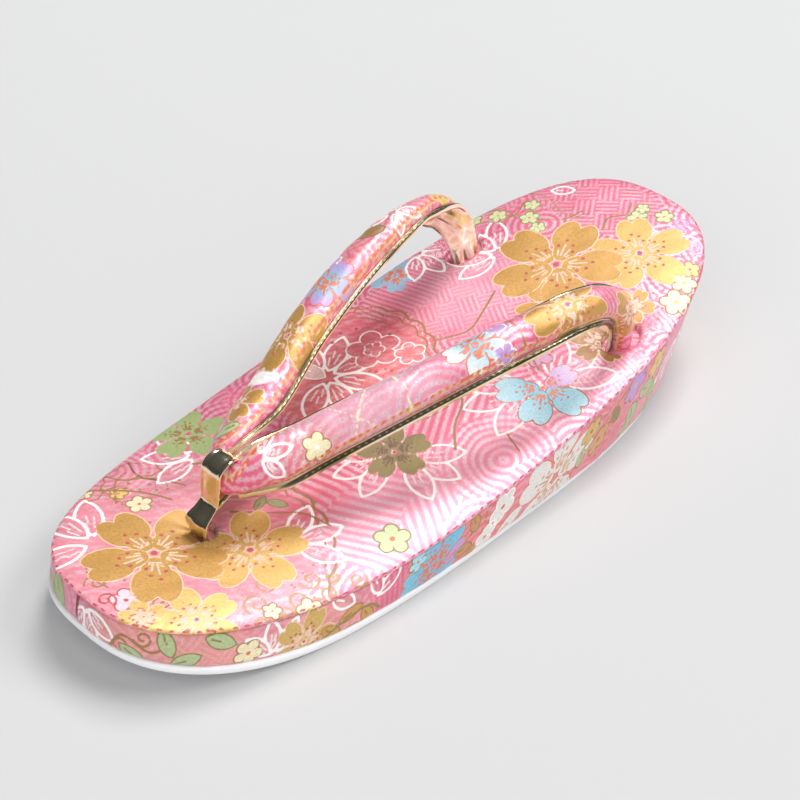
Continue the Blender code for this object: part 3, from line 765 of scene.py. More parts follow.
def wrap_pattern(u, v):
    """The wrapped side: u runs round from the join at the toe, v down from the seam."""
    cloth = Cloth(u, v)
    cloth.ground = np.tile(srgb("F08AA4"), (len(u), 1))
    for s, h, radii, colour, amount in (
        (115, 6, (13, 12), CORAL, 0.7), (25, 6, (22, 10), srgb("F0A18F"), 0.7),
        (83, 6, (6, 12), DEEP_PINK, 0.6), (62, 8, (14, 10), srgb("F0A08A"), 0.6),
        (163, 10, (14, 12), CORAL, 0.5), (205, 14, (18, 14), LIGHT_PINK, 0.6),
        (-20, 6, (14, 8), LIGHT_PINK, 0.6), (-48, 8, (16, 9), CORAL, 0.6),
        (-120, 8, (18, 12), CORAL, 0.6), (-200, 14, (20, 14), LIGHT_PINK, 0.5),
    ):
        cloth.tint((around(s), h), radii, colour, 0.4, amount)
    cloth.arcs((around(205), 26), 20, 2.0)
    cloth.stripes((around(210), 10), (15, 14), 78, 1.6)
    cloth.stripes((around(84), 6), (8, 10), 70, 1.6)
    cloth.lattice((around(35), 8), (12, 8), 30, 1.5)
    cloth.arcs((around(-80), 16), 14, 2.0)
    cloth.lattice((around(-170), 12), (16, 10), 25, 1.5)
    cloth.arcs((around(-225), 24), 18, 2.0)
    cloth.stripes((around(240), 16), (14, 12), 60, 1.6)

    # The toe, with the shadow in the pleat where the cloth is joined.
    cloth.path([(WRAP_JOIN + 0.5, -1), (WRAP_JOIN + 0.7, 6), (WRAP_JOIN + 0.3, 16)], 1.1, srgb("6A2233"))
    cloth.path([(around(WRAP_JOIN - 0.3), 0), (around(WRAP_JOIN - 0.4), 16)], 0.8, srgb("8E3448"))
    cloth.leaf((around(-10), 4.5), 5.0, 2.8, 70, GREEN, OLIVE)
    cloth.leaf((around(-16), 6), 4.0, 2.2, 20, GREEN, OLIVE)
    cloth.outline_blossom((1.5, 0.5), 10.5, (70, 32, 112), width=0.8)
    for s, h, turn in ((-29, 4, 10), (-24, 7, 60), (-21, 2, 100), (-34, 6, -30)):
        cloth.leaf((around(s), h), 5.2, 2.6, turn, srgb("E7D3EA"), WHITE)
    cloth.sakura((around(-46.0), 7.0), 9.0, 40, PALE_GOLD, 0.6)
    cloth.curl((13, 6), 3.0, 20)
    cloth.curl((18, 2.5), 2.4, 160, way=-1)
    cloth.path([(9, 9), (13, 3), (20, 6), (25, 2)], 0.7, BROWN)
    for s, h, turn in ((15.5, 8, 35), (28, 7.5, -25), (36, 2.5, 20), (23.5, 3, 70)):
        cloth.leaf((s, h), 4.0, 2.0, turn, DEEP_GREEN, OLIVE)
    cloth.outline_blossom((50, 10), 10, (-60, -20, -100, 220, 12), width=0.8)
    cloth.plum((43, 7), 4.0, 10, CREAM, BROWN)
    cloth.sakura((58.0, 8.5), 8.5, 75, PALE_GOLD * 0.7 + BROWN * 0.3, 0.5)
    for s, h, turn in ((66, 9, 30), (71, 6, -20), (77, 9, 50), (73, 11.5, 0)):
        cloth.leaf((s, h), 3.6, 1.7, turn, GOLD, BROWN)
    cloth.path([(61, 12), (68, 8), (76, 6), (81, 9)], 0.7, OLIVE)
    cloth.leaf((68, 1.6), 3.8, 1.9, 25, rim=WHITE, width=0.7)
    cloth.leaf((82, 2.6), 3.8, 1.9, -35, rim=WHITE, width=0.7)
    cloth.leaf((78, 1.5), 3.4, 1.7, 60, rim=WHITE, width=0.7)

    # The right side.
    cloth.sakura((98.0, 6.8), 10.4, 100, DEEP_BLUE * 0.4 + BLUE * 0.6, 0.0, rim=ORANGE, tip=BLUE, dot=ORANGE)
    cloth.leaf((105.5, 7.0), 3.6, 2.4, -35, LILAC, ORANGE)
    cloth.plum((91, 2.2), 3.0, 10, srgb("A8DDE8"), OLIVE, ORANGE)
    cloth.leaf((96, 14), 3.2, 1.6, 20, srgb("8CCFDD"), WHITE)
    for s, h, turn in ((111, 3, 60), (109, 9, 10), (113, 12, -40)):
        cloth.leaf((s, h), 3.4, 1.7, turn, srgb("C9915A"), BROWN)
    cloth.plum((121.5, 4.6), 4.6, 20, GREY_WHITE, WHITE, ORANGE)
    cloth.plum((117.5, 10.5), 3.6, 50, GREY_WHITE, WHITE, ORANGE)
    cloth.leaf((127, 12.5), 5.4, 2.8, -25, GREY_WHITE, ORANGE)
    cloth.leaf((123, 16), 5.0, 2.6, 20, GREY_WHITE, ORANGE)
    cloth.sakura((143.5, 10.0), 15.2, 60, GREY_WHITE, 0.0, rim=ORANGE, tip=GREY_WHITE, dot=srgb("D9925B"))
    cloth.plum((156, 5), 4.0, 20, srgb("D9B36A"), BROWN, RED)
    cloth.plum((162, 11), 4.4, 40, srgb("D9A06A"), BROWN, RED)
    cloth.path([(152, 16), (158, 10), (166, 5), (172, 3)], 0.7, BROWN)
    cloth.leaf((168, 8), 3.6, 1.8, 50, OLIVE, BROWN)
    cloth.leaf((155, 12), 3.2, 1.6, 80, DEEP_GREEN, BROWN)
    cloth.plum((176, 5), 5.0, 10, LILAC, BROWN, PALE_GOLD)
    for s, h, turn in (
        (180, 16, 60), (185, 12, 30), (179, 21, 95), (192, 17, 70), (196, 12, 20), (191, 23, 110),
    ):
        cloth.leaf((s, h), 5.0, 2.6, turn, DEEP_GREEN, OLIVE)
    cloth.plum((187, 6), 4.4, 30, PALE_GOLD, BROWN, ORANGE)
    cloth.outline_blossom((202, 8), 12, (60, 100, 20, 140), width=0.8)

    # The back of the heel and the left side, finished in the same way.
    cloth.sakura((222.0, 15.0), 12.0, 20, GOLD, 0.75)
    cloth.sakura((236.0, 22.0), 8.0, 60, PALE_GOLD, 0.7)
    cloth.outline_blossom((246, 10), 13, (40, 80, 120, 0), width=0.8)
    cloth.sakura((262.0, 16.0), 11.5, 100, BLUE, 0.0, rim=ORANGE, tip=PALE_BLUE, dot=ORANGE)
    cloth.plum((276, 8), 5.0, 20, PALE_GREEN, OLIVE, ORANGE)
    cloth.plum((283, 18), 5.6, 50, CREAM, BROWN, PALE_GOLD)
    cloth.path([(268, 26), (276, 20), (286, 12), (294, 5)], 0.7, BROWN)
    cloth.sakura((304.0, 12.0), 13.0, 75, GOLD, 0.75)
    cloth.sakura((320.0, 6.0), 8.0, 30, PALE_GOLD, 0.7)
    cloth.outline_blossom((326, 14), 12, (-60, -20, 30, 200, 160), width=0.8)
    cloth.scallop((352, 9), 12.0, 12, -80, 80)
    cloth.sakura((350.0, 9.0), 9.0, 100, GREY_WHITE, 0.0, rim=ORANGE, dot=ORANGE)
    cloth.plum((366, 5), 4.4, 15, LILAC, BROWN, PALE_GOLD)
    cloth.leaf((372, 10), 5.0, 2.6, 40, DEEP_GREEN, OLIVE)
    cloth.leaf((378, 5), 4.4, 2.3, -20, DEEP_GREEN, OLIVE)
    cloth.sakura((392.0, 7.0), 10.0, 15, BLUE, 0.0, rim=ORANGE, tip=PALE_BLUE, dot=ORANGE)
    cloth.outline_blossom((408, 6), 10, (60, 10, 120, -40), width=0.8)
    cloth.sakura((424.0, 8.0), 10.0, 50, GOLD, 0.75)
    cloth.plum((436, 4), 4.0, 15, PALE_GREEN, OLIVE, ORANGE)
    for centre in ((115, 8), (163, 12), (-48, 8), (352, 9), (-120, 8)):
        rng = np.random.default_rng(int(abs(centre[0])))
        places = np.array([around(centre[0]), centre[1]]) + rng.normal(0, 5, (16, 2))
        cloth.dots([p for p in places if cloth.spare(p)], 0.45, BROWN)
    return cloth


def strap_pattern(u, v, edge):
    """Both arms: u runs from the front to the rear, below 0 on the left arm, v outwards from the ridge."""
    cloth = Cloth(u, v)
    # Painted sheen: the right arm's cloth is paled near its ridge, standing in for the lamp's highlight
    # there.
    cloth.tint((38, 1), (24, 14), LIGHT_PINK * 0.4 + PALE_PINK * 0.6, 0.45, 0.62)
    cloth.tint((20, 5), (12, 8), CORAL, 0.35, 0.5)
    cloth.tint((-90, 0), (20, 12), CORAL, 0.4, 0.45)
    cloth.tint((8, 0), (9, 12), DEEP_PINK * 0.5 + PINK * 0.5, 0.4, 0.6)
    cloth.arcs((33, 9), 13, 2.4)
    cloth.arcs((44, 10), 12, 2.4)
    cloth.arcs((57, 9), 13, 2.4)
    cloth.arcs((12, -8), 12, 2.4)
    cloth.arcs((-85, 8), 12, 2.0)
    cloth.stripes((114, 0), (6, 8), 65, 1.6)
    cloth.lattice((-104, 0), (9, 8), 40, 1.5)

    # The right arm.
    cloth.plum((25, 3.4), 4.2, 15, CREAM, BROWN, WHITE)
    cloth.outline_blossom((12, -3), 8, (20, 70, -40), width=0.7)
    cloth.path([(49, -8), (51, 0), (50, 7)], 0.8, CREAM)
    cloth.path([(31, -6), (36, 0), (41, 6)], 0.6, CREAM)
    cloth.path([(45, -7), (39, 0), (35, 6)], 0.6, CREAM)
    cloth.sakura((72.0, -1.0), 8.6, 40, BLUE, 0.0, rim=ORANGE, tip=WHITE, dot=ORANGE)
    cloth.leaf((79, -3.5), 3.2, 2.0, 30, LILAC, WHITE)
    cloth.plum((77.5, 5), 3.4, 15, LILAC, WHITE, ORANGE)
    cloth.path([(82, -6), (84, 0), (83, 6)], 0.8, BROWN)
    cloth.path([(86, -6), (88, 1), (86, 7)], 0.7, BROWN)
    cloth.sakura((99.0, -0.5), 12.4, 100, GOLD, 0.8)
    cloth.sakura((124.0, 0.0), 9.0, 30, GOLD, 0.8)

    # The left arm.
    cloth.leaf((-9, 2), 4.6, 2.4, 10, OLIVE, BROWN)
    cloth.leaf((-13, -3), 3.6, 1.8, 40, DEEP_GREEN, OLIVE)
    cloth.sakura((-21.5, 2.0), 7.6, 20, GOLD, 0.8)
    cloth.leaf((-31, 0), 5.0, 2.6, 70, WHITE, PALE_PINK)
    cloth.sakura((-45.0, -0.5), 11.8, 80, GOLD, 0.8)
    cloth.sakura((-65.0, 0.0), 8.8, 50, BLUE, 0.0, rim=ORANGE, tip=LILAC, dot=ORANGE)
    cloth.plum((-73, 4), 3.6, 15, LILAC, WHITE, ORANGE)
    cloth.leaf((-87, 0), 4.6, 2.2, 35, BROWN * 0.6 + OLIVE * 0.4, DARK_BROWN)
    cloth.outline_blossom((-97, 0), 8.5, (20, 92, 160, 232, 300), width=0.7)
    cloth.sakura((-118.0, 0.0), 9.0, 30, PALE_GOLD, 0.7)

    # The turned edge beside the piping: a pale gold line, and dashes of red and gold thread in turn.
    everywhere = np.arange(len(u))
    from_edge = edge - np.abs(v)
    worn = 0.35 * crease(u, (3.1, 7.7, 17.3), 51)
    dash = from_middle(u, THREAD_PITCH) - 0.55 + worn
    between = np.abs((u / THREAD_PITCH + 0.5) % 1 - 0.5) * THREAD_PITCH - 0.3 - worn
    cloth.draw(everywhere, np.abs(from_edge - 1.5) + 0.12 + 0.6 * worn, 0.7, PALE_GOLD)
    cloth.draw(everywhere, np.maximum(dash, np.abs(from_edge - 2.6) - 0.4) + 0.3, 0.7, srgb("E4633C"))
    cloth.draw(everywhere, np.maximum(between, np.abs(from_edge - 2.6) - 0.3) + 0.3, 0.6, PALE_GOLD)
    return cloth


# Shapes.


def add_mesh(name, points, faces, attributes, material):
    mesh = bpy.data.meshes.new(name)
    mesh.from_pydata(points.reshape(-1, 3) * MM, [], [list(face) for face in faces])
    for label, values in attributes.items():
        values = np.asarray(values, float)
        kind = "FLOAT_VECTOR" if values.ndim == 2 else "FLOAT"
        attribute = mesh.attributes.new(label, kind, "POINT")
        attribute.data.foreach_set("vector" if values.ndim == 2 else "value", values.ravel())
    mesh.shade_smooth()
    mesh.materials.append(material)
    obj = bpy.data.objects.new(name, mesh)
    bpy.context.scene.collection.objects.link(obj)
    return obj


def bake_map(piece, places):
    """Lays the faces out for baking, from two coordinates for each corner of each face."""
    layer = piece.data.uv_layers.new(name="OFBake")
    layer.data.foreach_set("uv", np.asarray(places, float).ravel())


def strip_places(length, shares, strips, lengthwise_rows):
    """Corners of a long grid's faces, cut into strips that lie side by side in the bake's square."""
    per = -(-length // strips)
    strip = np.arange(length) // per
    start = 0.004 + 0.992 * (np.arange(length) - strip * per) / per
    along = np.stack([start, start + 0.992 / per])[:, :, None]
    across = (strip[:, None] + 0.015 + 0.97 * np.asarray(shares)[None]) / strips
    low, high = across[:, :-1], across[:, 1:]
    near, far = (np.broadcast_to(side, low.shape) for side in along)
    if lengthwise_rows:
        order = [(near, low), (near, high), (far, high), (far, low)]
    else:
        order = [(near.T, low.T), (far.T, low.T), (far.T, high.T), (near.T, high.T)]
    return np.stack([np.stack(corner, -1) for corner in order], -2).reshape(-1, 2)


def corners(table):
    """The four corners of each cell of a table."""
    return table[:-1, :-1], table[:-1, 1:], table[1:, 1:], table[1:, :-1]


def numbered(points):
    """A table of vertex numbers for rows of points."""
    return np.arange(points.shape[0] * points.shape[1]).reshape(points.shape[:2])


def grid_faces(grid):
    """Quads between neighbouring rows of a table of vertex numbers, each row a closed ring."""
    return np.stack(corners(np.hstack([grid, grid[:, :1]])), -1).reshape(-1, 4)


def capped_faces(grid):
    """The same for a tube, with a face over each end."""
    return [list(face) for face in grid_faces(grid)] + [list(grid[0]), list(grid[-1][::-1])]


def closed_grid(points):
    """Folds the first and last ring flat on the middle line, and returns the rings' vertex numbers."""
    points[[0, -1], :, 0] = 0
    grid = numbered(points)
    count = points.shape[1]
    mirror = np.minimum(np.arange(count), count - np.arange(count))
    grid[0] = mirror
    grid[-1] = grid[-1, 0] + mirror
    return grid


def ripple(u, v, size, seed):
    """Smooth unevenness between about -1 and 1, with bumps of about the given size."""
    rng = np.random.default_rng(seed)
    total = np.zeros_like(u, dtype=float)
    for _ in range(RIPPLE_WAVES):
        angle, phase = rng.uniform(0, 2 * math.pi, 2)
        length = size * rng.uniform(0.7, 1.6)
        total += np.sin((u * math.cos(angle) + v * math.sin(angle)) * 2 * math.pi / length + phase)
    return total / math.sqrt(RIPPLE_WAVES * 2)


def crease(u, sizes, seed):
    """Unevenness along one direction only, as small gathers have."""
    rng = np.random.default_rng(seed)
    total = np.zeros_like(u, dtype=float)
    for size in sizes:
        total += np.sin(u * 2 * math.pi / size + rng.uniform(0, 2 * math.pi)) * rng.uniform(0.6, 1.0)
    return total / len(sizes)


def pad_height(x, y):
    """The padding's rise over the seam, 0 at the footbed's edge."""
    centre = FOOTBED_TOE_Y + WIDEST_AT * (HEEL_Y - FOOTBED_TOE_Y)
    heel = y > centre
    fullness = np.where(heel, HEEL_FULLNESS, TOE_FULLNESS)
    reach = np.where(heel, HEEL_Y - centre, centre - FOOTBED_TOE_Y)
    across, along = np.abs(2 * x / FOOTBED_WIDTH), np.abs((y - centre) / reach)
    share = np.clip((across**fullness + along**fullness) ** (1 / fullness), 0, 1)
    crown = PAD_CROWN * ((1 - share**2) - (1 - share**12))
    pad = PAD_THICKNESS * (1 - share**PAD_FLATNESS) ** (1 / PAD_ROUNDNESS)
    return pad + crown + PAD_CROWN * (1 - share**12) * 0.4


def pulled(x, y):
    """How the cloth goes down round the holes: the pit itself and the short folds that run into it."""
    drop = dimple(x, y)
    for hx, hy, half_x, half_y, depth in HOLES:
        q = np.hypot((x - hx) / half_x, (y - hy) / half_y)
        drop = drop + depth * np.clip((1.12 - q) / 0.32, 0, 1) ** 1.4
        angle = np.arctan2(y - hy, x - hx)
        fade = np.clip((q - 0.9) / 0.3, 0, 1) * np.exp(-np.maximum(q - 1.2, 0) / 0.9)
        drop = drop + 0.16 * np.sin(angle * 9 + 2 * np.sin(angle * 2)) * fade
    return drop


def sew(cloth, along, from_seam):
    """The row of dark red stitches that holds the footbed's cloth along its edge."""
    wander = 0.12 * crease(along, (7.1, 13.3), 41)
    row = np.abs(from_seam - 0.75 + wander) - 0.3
    dash = from_middle(along, STITCH_PITCH) - 0.7 + 0.6 * crease(along, (3.1, 5.7, 11.9), 42)
    everywhere = np.arange(len(along))
    colour = DARK_BROWN * 0.15 + RED * 0.35 + DEEP_PINK * 0.5
    cloth.draw(everywhere, np.maximum(row, dash) + 0.32, 0.56, colour)


def add_footbed(material):
    turns, marks, _ = even_turns(FOOTBED_COLUMNS)
    curve = np.linspace(0, math.pi / 2, 27)
    insets = list(PAD_CURVE * (1 - np.cos(curve) ** (2 / 2.2)))
    insets[-1] = PAD_CURVE
    insets += list(np.arange(PAD_CURVE + 0.55, FOOTBED_WIDTH / 2, 0.55)) + [FOOTBED_WIDTH / 2]
    rings = []
    for inset in insets:
        x, y = outline(turns, FOOTBED_TOE_Y, HEEL_Y, FOOTBED_WIDTH / 2, inset)
        near_edge = math.exp(-inset / 2.2)
        gather = crease(marks, (2.3, 3.7, 5.9, 9.1), 3) * near_edge * min(inset / 0.5, 1)
        z = seam_height(y) + pad_height(x, y) - pulled(x, y) + 0.13 * gather
        z += 0.10 * ripple(y, x, 17, 5) * min(inset / 6, 1) + 0.035 * ripple(y, x, 6, 6) * min(inset / 3, 1)
        rings.append(np.stack([x, y, z], -1))
    top = np.array(rings)
    knee = insets.index(PAD_CURVE)
    steps = np.linalg.norm(np.diff(top[: knee + 1], axis=0), axis=-1)
    arc = np.vstack([np.cumsum(steps[::-1], axis=0)[::-1], np.zeros(FOOTBED_COLUMNS)])
    outward = unit(top[0, :, :2] - top[knee, :, :2])
    flat = top[..., :2].copy()
    flat[: knee + 1] = top[knee, :, :2] + outward * arc[..., None]
    bottom = []
    for inset, rise in ((FOOTBED_WIDTH / 2, 0.0), (30.0, 0.0), (8.0, 0.0), (0.5, 0.0), (0.05, 0.16)):
        x, y = outline(turns, FOOTBED_TOE_Y, HEEL_Y, FOOTBED_WIDTH / 2, inset)
        bottom.append(np.stack([x, y, seam_height(y) + rise], -1))
    points = np.concatenate([bottom, top])
    grid = closed_grid(points)
    flats = np.concatenate([np.repeat(flat[:1], len(bottom), axis=0), flat])[..., ::-1].reshape(-1, 2)
    flats[-FOOTBED_COLUMNS:, 1] = 0
    cloth = footbed_pattern(flats[:, 0], flats[:, 1])
    below = np.full((len(bottom), FOOTBED_COLUMNS), -1.0)
    inside = np.full((len(top) - knee - 1, FOOTBED_COLUMNS), FAR)
    from_seam = np.concatenate([below, arc[:1] - arc, inside])
    sew(cloth, np.tile(marks, len(points)), from_seam.ravel())
    piece = add_mesh("footbed_brocade", points, grid_faces(grid), cloth.attributes(), material)
    hidden = strip_places(FOOTBED_COLUMNS, np.linspace(0, 1, len(bottom) + 1), 1, False) * (1, 0.012)
    spread = np.hstack([flat, flat[:, :1]]) / (FOOTBED_WIDTH + 11, LENGTH + 12) + (0.5, 0.507)
    bake_map(piece, np.concatenate([hidden, np.stack(corners(spread), -2).reshape(-1, 2)]))
    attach(piece, "root")
    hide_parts("footbed")


def wrap_head(turns, inset=0.0):
    """The wrap's upper outline, just inside the footbed's."""
    half_width = FOOTBED_WIDTH / 2 - FOOTBED_LIP
    return outline(turns, FOOTBED_TOE_Y + FOOTBED_LIP, HEEL_Y - FOOTBED_LIP, half_width, inset)


def wrap_foot(turns, inset=0.0):
    """The wrap's lower outline, just inside the outsole's."""
    toe_y, heel_y = TOE_Y + OUTSOLE_MARGIN, HEEL_Y - HEEL_SLANT - OUTSOLE_MARGIN
    return outline(turns, toe_y, heel_y, WIDTH / 2 - OUTSOLE_MARGIN, inset)


def add_wrap(material):
    turns, marks, total = even_turns(WRAP_COLUMNS)
    head_x, head_y = wrap_head(turns)
    foot_x, foot_y = wrap_foot(turns)
    head = np.stack([head_x, head_y, seam_height(head_y) - 0.12], -1)
    foot = np.stack([foot_x, foot_y, underside(foot_y) + OUTSOLE_THICKNESS + 0.04], -1)
    ahead_x, ahead_y = (np.roll(line, -1) - np.roll(line, 1) for line in (head_x, head_y))
    outward = np.column_stack([unit(np.stack([ahead_y, -ahead_x], -1)), np.zeros(WRAP_COLUMNS)])
    tall = np.linalg.norm(head - foot, axis=-1)
    walked = np.where(marks > total / 2, marks - total, marks)
    join = walked - WRAP_JOIN
    overlap = np.where(join > 0, np.exp(-np.abs(join) / 16), 0) * 0.6 - 0.8 * np.exp(-((join / 0.7) ** 2))
    distance = np.where(join < 0, walked + total, walked)
    rows = []
    downs = []
    for k in range(WRAP_ROWS):
        t = k / (WRAP_ROWS - 1)
        down = t * tall
        tuck = 0.75 * np.exp(-down / 0.35) + 0.6 * np.exp(-(tall - down) / 0.4)
        bulge = 0.32 * math.sin(math.pi * t) ** 0.8
        gathers = crease(distance, (3.1, 4.7, 7.3), 8) * np.exp(-down / 1.5) * 0.10
        folds = crease(distance, (5.3, 8.9, 13.1), 9) * np.exp(-(tall - down) / 4) * 0.13
        uneven = 0.10 * ripple(distance, down, 21, 10)
        off = bulge - tuck + gathers + folds + uneven
        off = off + overlap * math.sin(math.pi * min(t * 4 + 0.15, 0.5))
        rows.append(head + (foot - head) * t + outward * off[:, None])
        downs.append(down)
    caps = []
    for inset in (FOOTBED_WIDTH / 2 - FOOTBED_LIP, 26.0, 12.0, 2.5):
        x, y = wrap_head(turns, inset)
        caps.append(np.stack([x, y, seam_height(y) - 0.3], -1))
    soles = []
    for inset in (2.5, 12.0, 26.0, WIDTH / 2 - OUTSOLE_MARGIN):
        x, y = wrap_foot(turns, inset)
        soles.append(np.stack([x, y, underside(y) + OUTSOLE_THICKNESS + 0.04], -1))
    points = np.concatenate([caps, rows, soles])
    grid = closed_grid(points)
    down = np.vstack([downs[:1] * len(caps), downs, downs[-1:] * len(soles)])
    cloth = wrap_pattern(np.broadcast_to(distance, down.shape).ravel(), down.ravel())
    piece = add_mesh("wrap_brocade", points, grid_faces(grid[::-1]), cloth.attributes(), material)
    side = np.linspace(0.026, 0.974, WRAP_ROWS)
    shares = np.concatenate([np.linspace(0, 0.02, len(caps)), side, np.linspace(0.98, 1, len(soles))])
    bake_map(piece, strip_places(WRAP_COLUMNS, shares, BAKE_STRIPS, False))
    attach(piece, "root")
    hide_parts("midsole")


def add_outsole(material):
    turns, _, _ = even_turns(OUTSOLE_COLUMNS)
    middle = WIDTH / 2 - 0.1
    profile = [
        (middle, 0.0), (30.0, 0.0), (15.0, 0.0), (5.0, 0.0), (1.2, 0.0), (0.45, 0.06), (0.12, 0.3),
        (0.0, 0.7), (0.0, 1.6), (0.1, 2.05), (0.4, 2.32), (1.0, 2.4), (4.0, 2.4), (middle, 2.4),
    ]
    rings = []
    _, plain_y = outline(turns, TOE_Y, HEEL_Y - HEEL_SLANT, WIDTH / 2)
    set_back = OUTSOLE_SET_BACK * np.clip((share_along(plain_y) - 0.12) / 0.4, 0, 1)
    for inset, up in profile:
        drawn_in = np.minimum(inset + set_back, middle)
        x, y = outline(turns, TOE_Y, HEEL_Y - HEEL_SLANT, WIDTH / 2, drawn_in)
        rings.append(np.stack([x, y, underside(y) + up], -1))
    points = np.array(rings)
    grid = closed_grid(points)
    piece = add_mesh("outsole_rubber", points, grid_faces(grid), {}, material)
    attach(piece, "root")
    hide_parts("outsole")


def drawn_up(rows):
    """How much of its lower half width the strap keeps: near the loop the gilt bead takes its place."""
    middle = ARM_ROWS[MIDDLE_ROW][ARM_KEYS.index("along")]
    share = np.exp(-(((rows["along"] - middle) / FRONT_EDGE_REACH) ** 2))
    return (1 - FRONT_EDGE_LIFT * share)[:, None]


def dome(rows, count):
    """The padded section at each row: across and up at even turns over the dome."""
    angles = np.linspace(0, math.pi, count)
    half = (STRAP_WIDTH / 2 * rows["width"])[:, None]
    base = ((LINING_THICKNESS + GAP - STRAP_THICKNESS / 2) * rows["thick"])[:, None]
    top = (STRAP_THICKNESS / 2 * rows["thick"])[:, None]
    across = half * power(np.cos(angles), 2 / STRAP_FULLNESS)[None]
    across = np.where(across > 0, across * drawn_up(rows), across)
    up = base + (top - base) * np.abs(np.sin(angles))[None] ** (2 / STRAP_FULLNESS)
    return across, up, half, base


def placed(middles, across, normal, x, up):
    """Points of an arm, from each row's middle and the section's distances across and up."""
    return middles[:, None] + across[:, None] * x[..., None] + normal[:, None] * up[..., None]


def add_strap(material):
    middles, across, normal, rows, walked = arm_frames(MIDDLE_ROW, STRAP_ROWS)
    x, up, half, base = dome(rows, DOME_COLUMNS)
    arc = np.hypot(np.diff(x, axis=1), np.diff(up, axis=1))
    arc = np.hstack([np.zeros((STRAP_ROWS, 1)), np.cumsum(arc, axis=1)])
    ridge = arc[:, DOME_COLUMNS // 2][:, None]
    v = ridge - arc
    edge = np.broadcast_to(ridge, arc.shape)
    along = np.broadcast_to(walked[:, None], arc.shape)
    from_edge = edge - np.abs(v)
    gathers = crease(along, (2.9, 4.3, 6.1), 21) * np.exp(-from_edge / 1.6) * 0.16
    soft = 0.14 * ripple(along, v, 11, 22) + 0.05 * ripple(along, v, 5, 23)
    swell = gathers + soft * np.clip(from_edge / 2, 0, 1)
    up = up + swell * np.clip(from_edge, 0, 1)
    flat_x = half * np.linspace(-0.9, 0.9, STRAP_BASE_COLUMNS)[None]
    flat_x = np.where(flat_x > 0, flat_x * drawn_up(rows), flat_x)
    x = np.hstack([x, flat_x])
    up = np.hstack([up, np.broadcast_to(base, flat_x.shape)])
    points = placed(middles, across, normal, x, up)
    points[0, :, 0] = 0.0
    v = np.hstack([v, np.broadcast_to(v[:, -1:], flat_x.shape)])
    edge = np.hstack([edge, np.broadcast_to(edge[:, -1:], flat_x.shape)])
    along = np.broadcast_to(walked[:, None], v.shape)
    points = np.concatenate([points[:0:-1] * (-1, 1, 1), points])
    u = np.concatenate([-along[:0:-1], along])
    v = np.concatenate([v[:0:-1], v])
    edge = np.concatenate([edge[:0:-1], edge])
    cloth = strap_pattern(u.ravel(), v.ravel(), edge.ravel())
    faces = capped_faces(numbered(points))
    piece = add_mesh("strap_brocade_v", points, faces, cloth.attributes(), material)
    shares = [np.linspace(0, 0.90, DOME_COLUMNS), np.linspace(0.91, 0.99, STRAP_BASE_COLUMNS), [1.0]]
    shares = np.concatenate(shares)
    turn = np.linspace(0, 2 * math.pi, len(shares) - 1, endpoint=False)
    end = np.stack([0.5 + 0.002 * np.cos(turn), 0.0018 + 0.001 * np.sin(turn)], -1)
    sides = strip_places(len(points) - 1, shares, BAKE_STRIPS, True)
    bake_map(piece, np.concatenate([sides, end, end[::-1]]))
    upright(piece)
    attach(piece, "root")
    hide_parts("strap")


def upright(piece):
    """Turns every face of a closed mesh outwards."""
    bm = bmesh.new()
    bm.from_mesh(piece.data)
    bmesh.ops.recalc_face_normals(bm, faces=bm.faces)
    bm.to_mesh(piece.data)
    bm.free()


def add_linings(material):
    middles, across, normal, rows, walked = arm_frames(GILT_STARTS_AT, LINING_ROWS)
    bead = (PIPING_RADIUS * rows["thick"])[:, None]
    gain = OUTER_BEAD_GAIN * (1 + FRONT_BEAD_GAIN * np.exp(-walked / FRONT_BEAD_REACH))
    outer_bead = bead * gain[:, None]
    floor = (-STRAP_THICKNESS / 2 * rows["thick"])[:, None]
    half = (STRAP_WIDTH / 2 * rows["width"])[:, None]
    reach = half + np.sqrt((bead + GAP) ** 2 - bead**2)
    turns = np.radians(np.linspace(-90, 150, 17))[None]
    inner_x = reach + bead * np.cos(turns)
    inner_up = floor + bead + bead * np.sin(turns)
    outer_reach = half * drawn_up(rows) + np.sqrt((outer_bead + GAP) ** 2 - outer_bead**2)
    outer_x = outer_reach + outer_bead * np.cos(turns)
    outer_up = floor + outer_bead + outer_bead * np.sin(turns)
    shares = np.linspace(0.85, -0.85, 7)[None]
    top_x = shares * half
    top_up = np.broadcast_to(inner_up[:, -1:], top_x.shape)
    x = np.hstack([outer_x, top_x, INNER_BEAD_SHIFT - inner_x[:, ::-1], -top_x])
    up = np.hstack([outer_up, top_up, inner_up[:, ::-1], np.broadcast_to(floor, top_x.shape)])
    along = np.broadcast_to(walked[:, None], x.shape)
    rear = np.clip((along - 92) / 22, 0, 1)
    crumple = 0.5 - 1.2 * np.abs(ripple(along * 0.14, x, 3.9, 31))
    crumple = crumple + 0.45 * np.abs(ripple(along * 0.3, x, 3.0, 32))
    up = up + rear * crumple + 0.03 * ripple(along, x, 7, 33)
    points = placed(middles, across, normal, x, up)
    faces = capped_faces(numbered(points))
    nothing = np.zeros_like(shares)
    # A dark reflection is painted along each bead's upper side and fades out towards the loop. shade carries
    # it to the material, and the stitches' dots sit at its middle.
    outer_dark_reflection = 1 - np.abs(np.degrees(turns) - 72) / 52
    inner_dark_reflection = 1 - np.abs(np.degrees(turns) - 30) / 52
    dark_reflection = np.clip(np.hstack([outer_dark_reflection, nothing, inner_dark_reflection[:, ::-1], nothing]), 0, 1)
    shade = dark_reflection * np.clip(walked / 12 - 0.35, 0.18, 1)[:, None]
    flats = np.column_stack([along.ravel(), x.ravel(), shade.ravel()])
    for name, side in (("right", 1), ("left", -1)):
        piece = add_mesh("gilt_lining_" + name, points * (side, 1, 1), faces, {"cloth": flats}, material)
        upright(piece)
        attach(piece, "root")
        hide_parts("strap_lining_" + name)


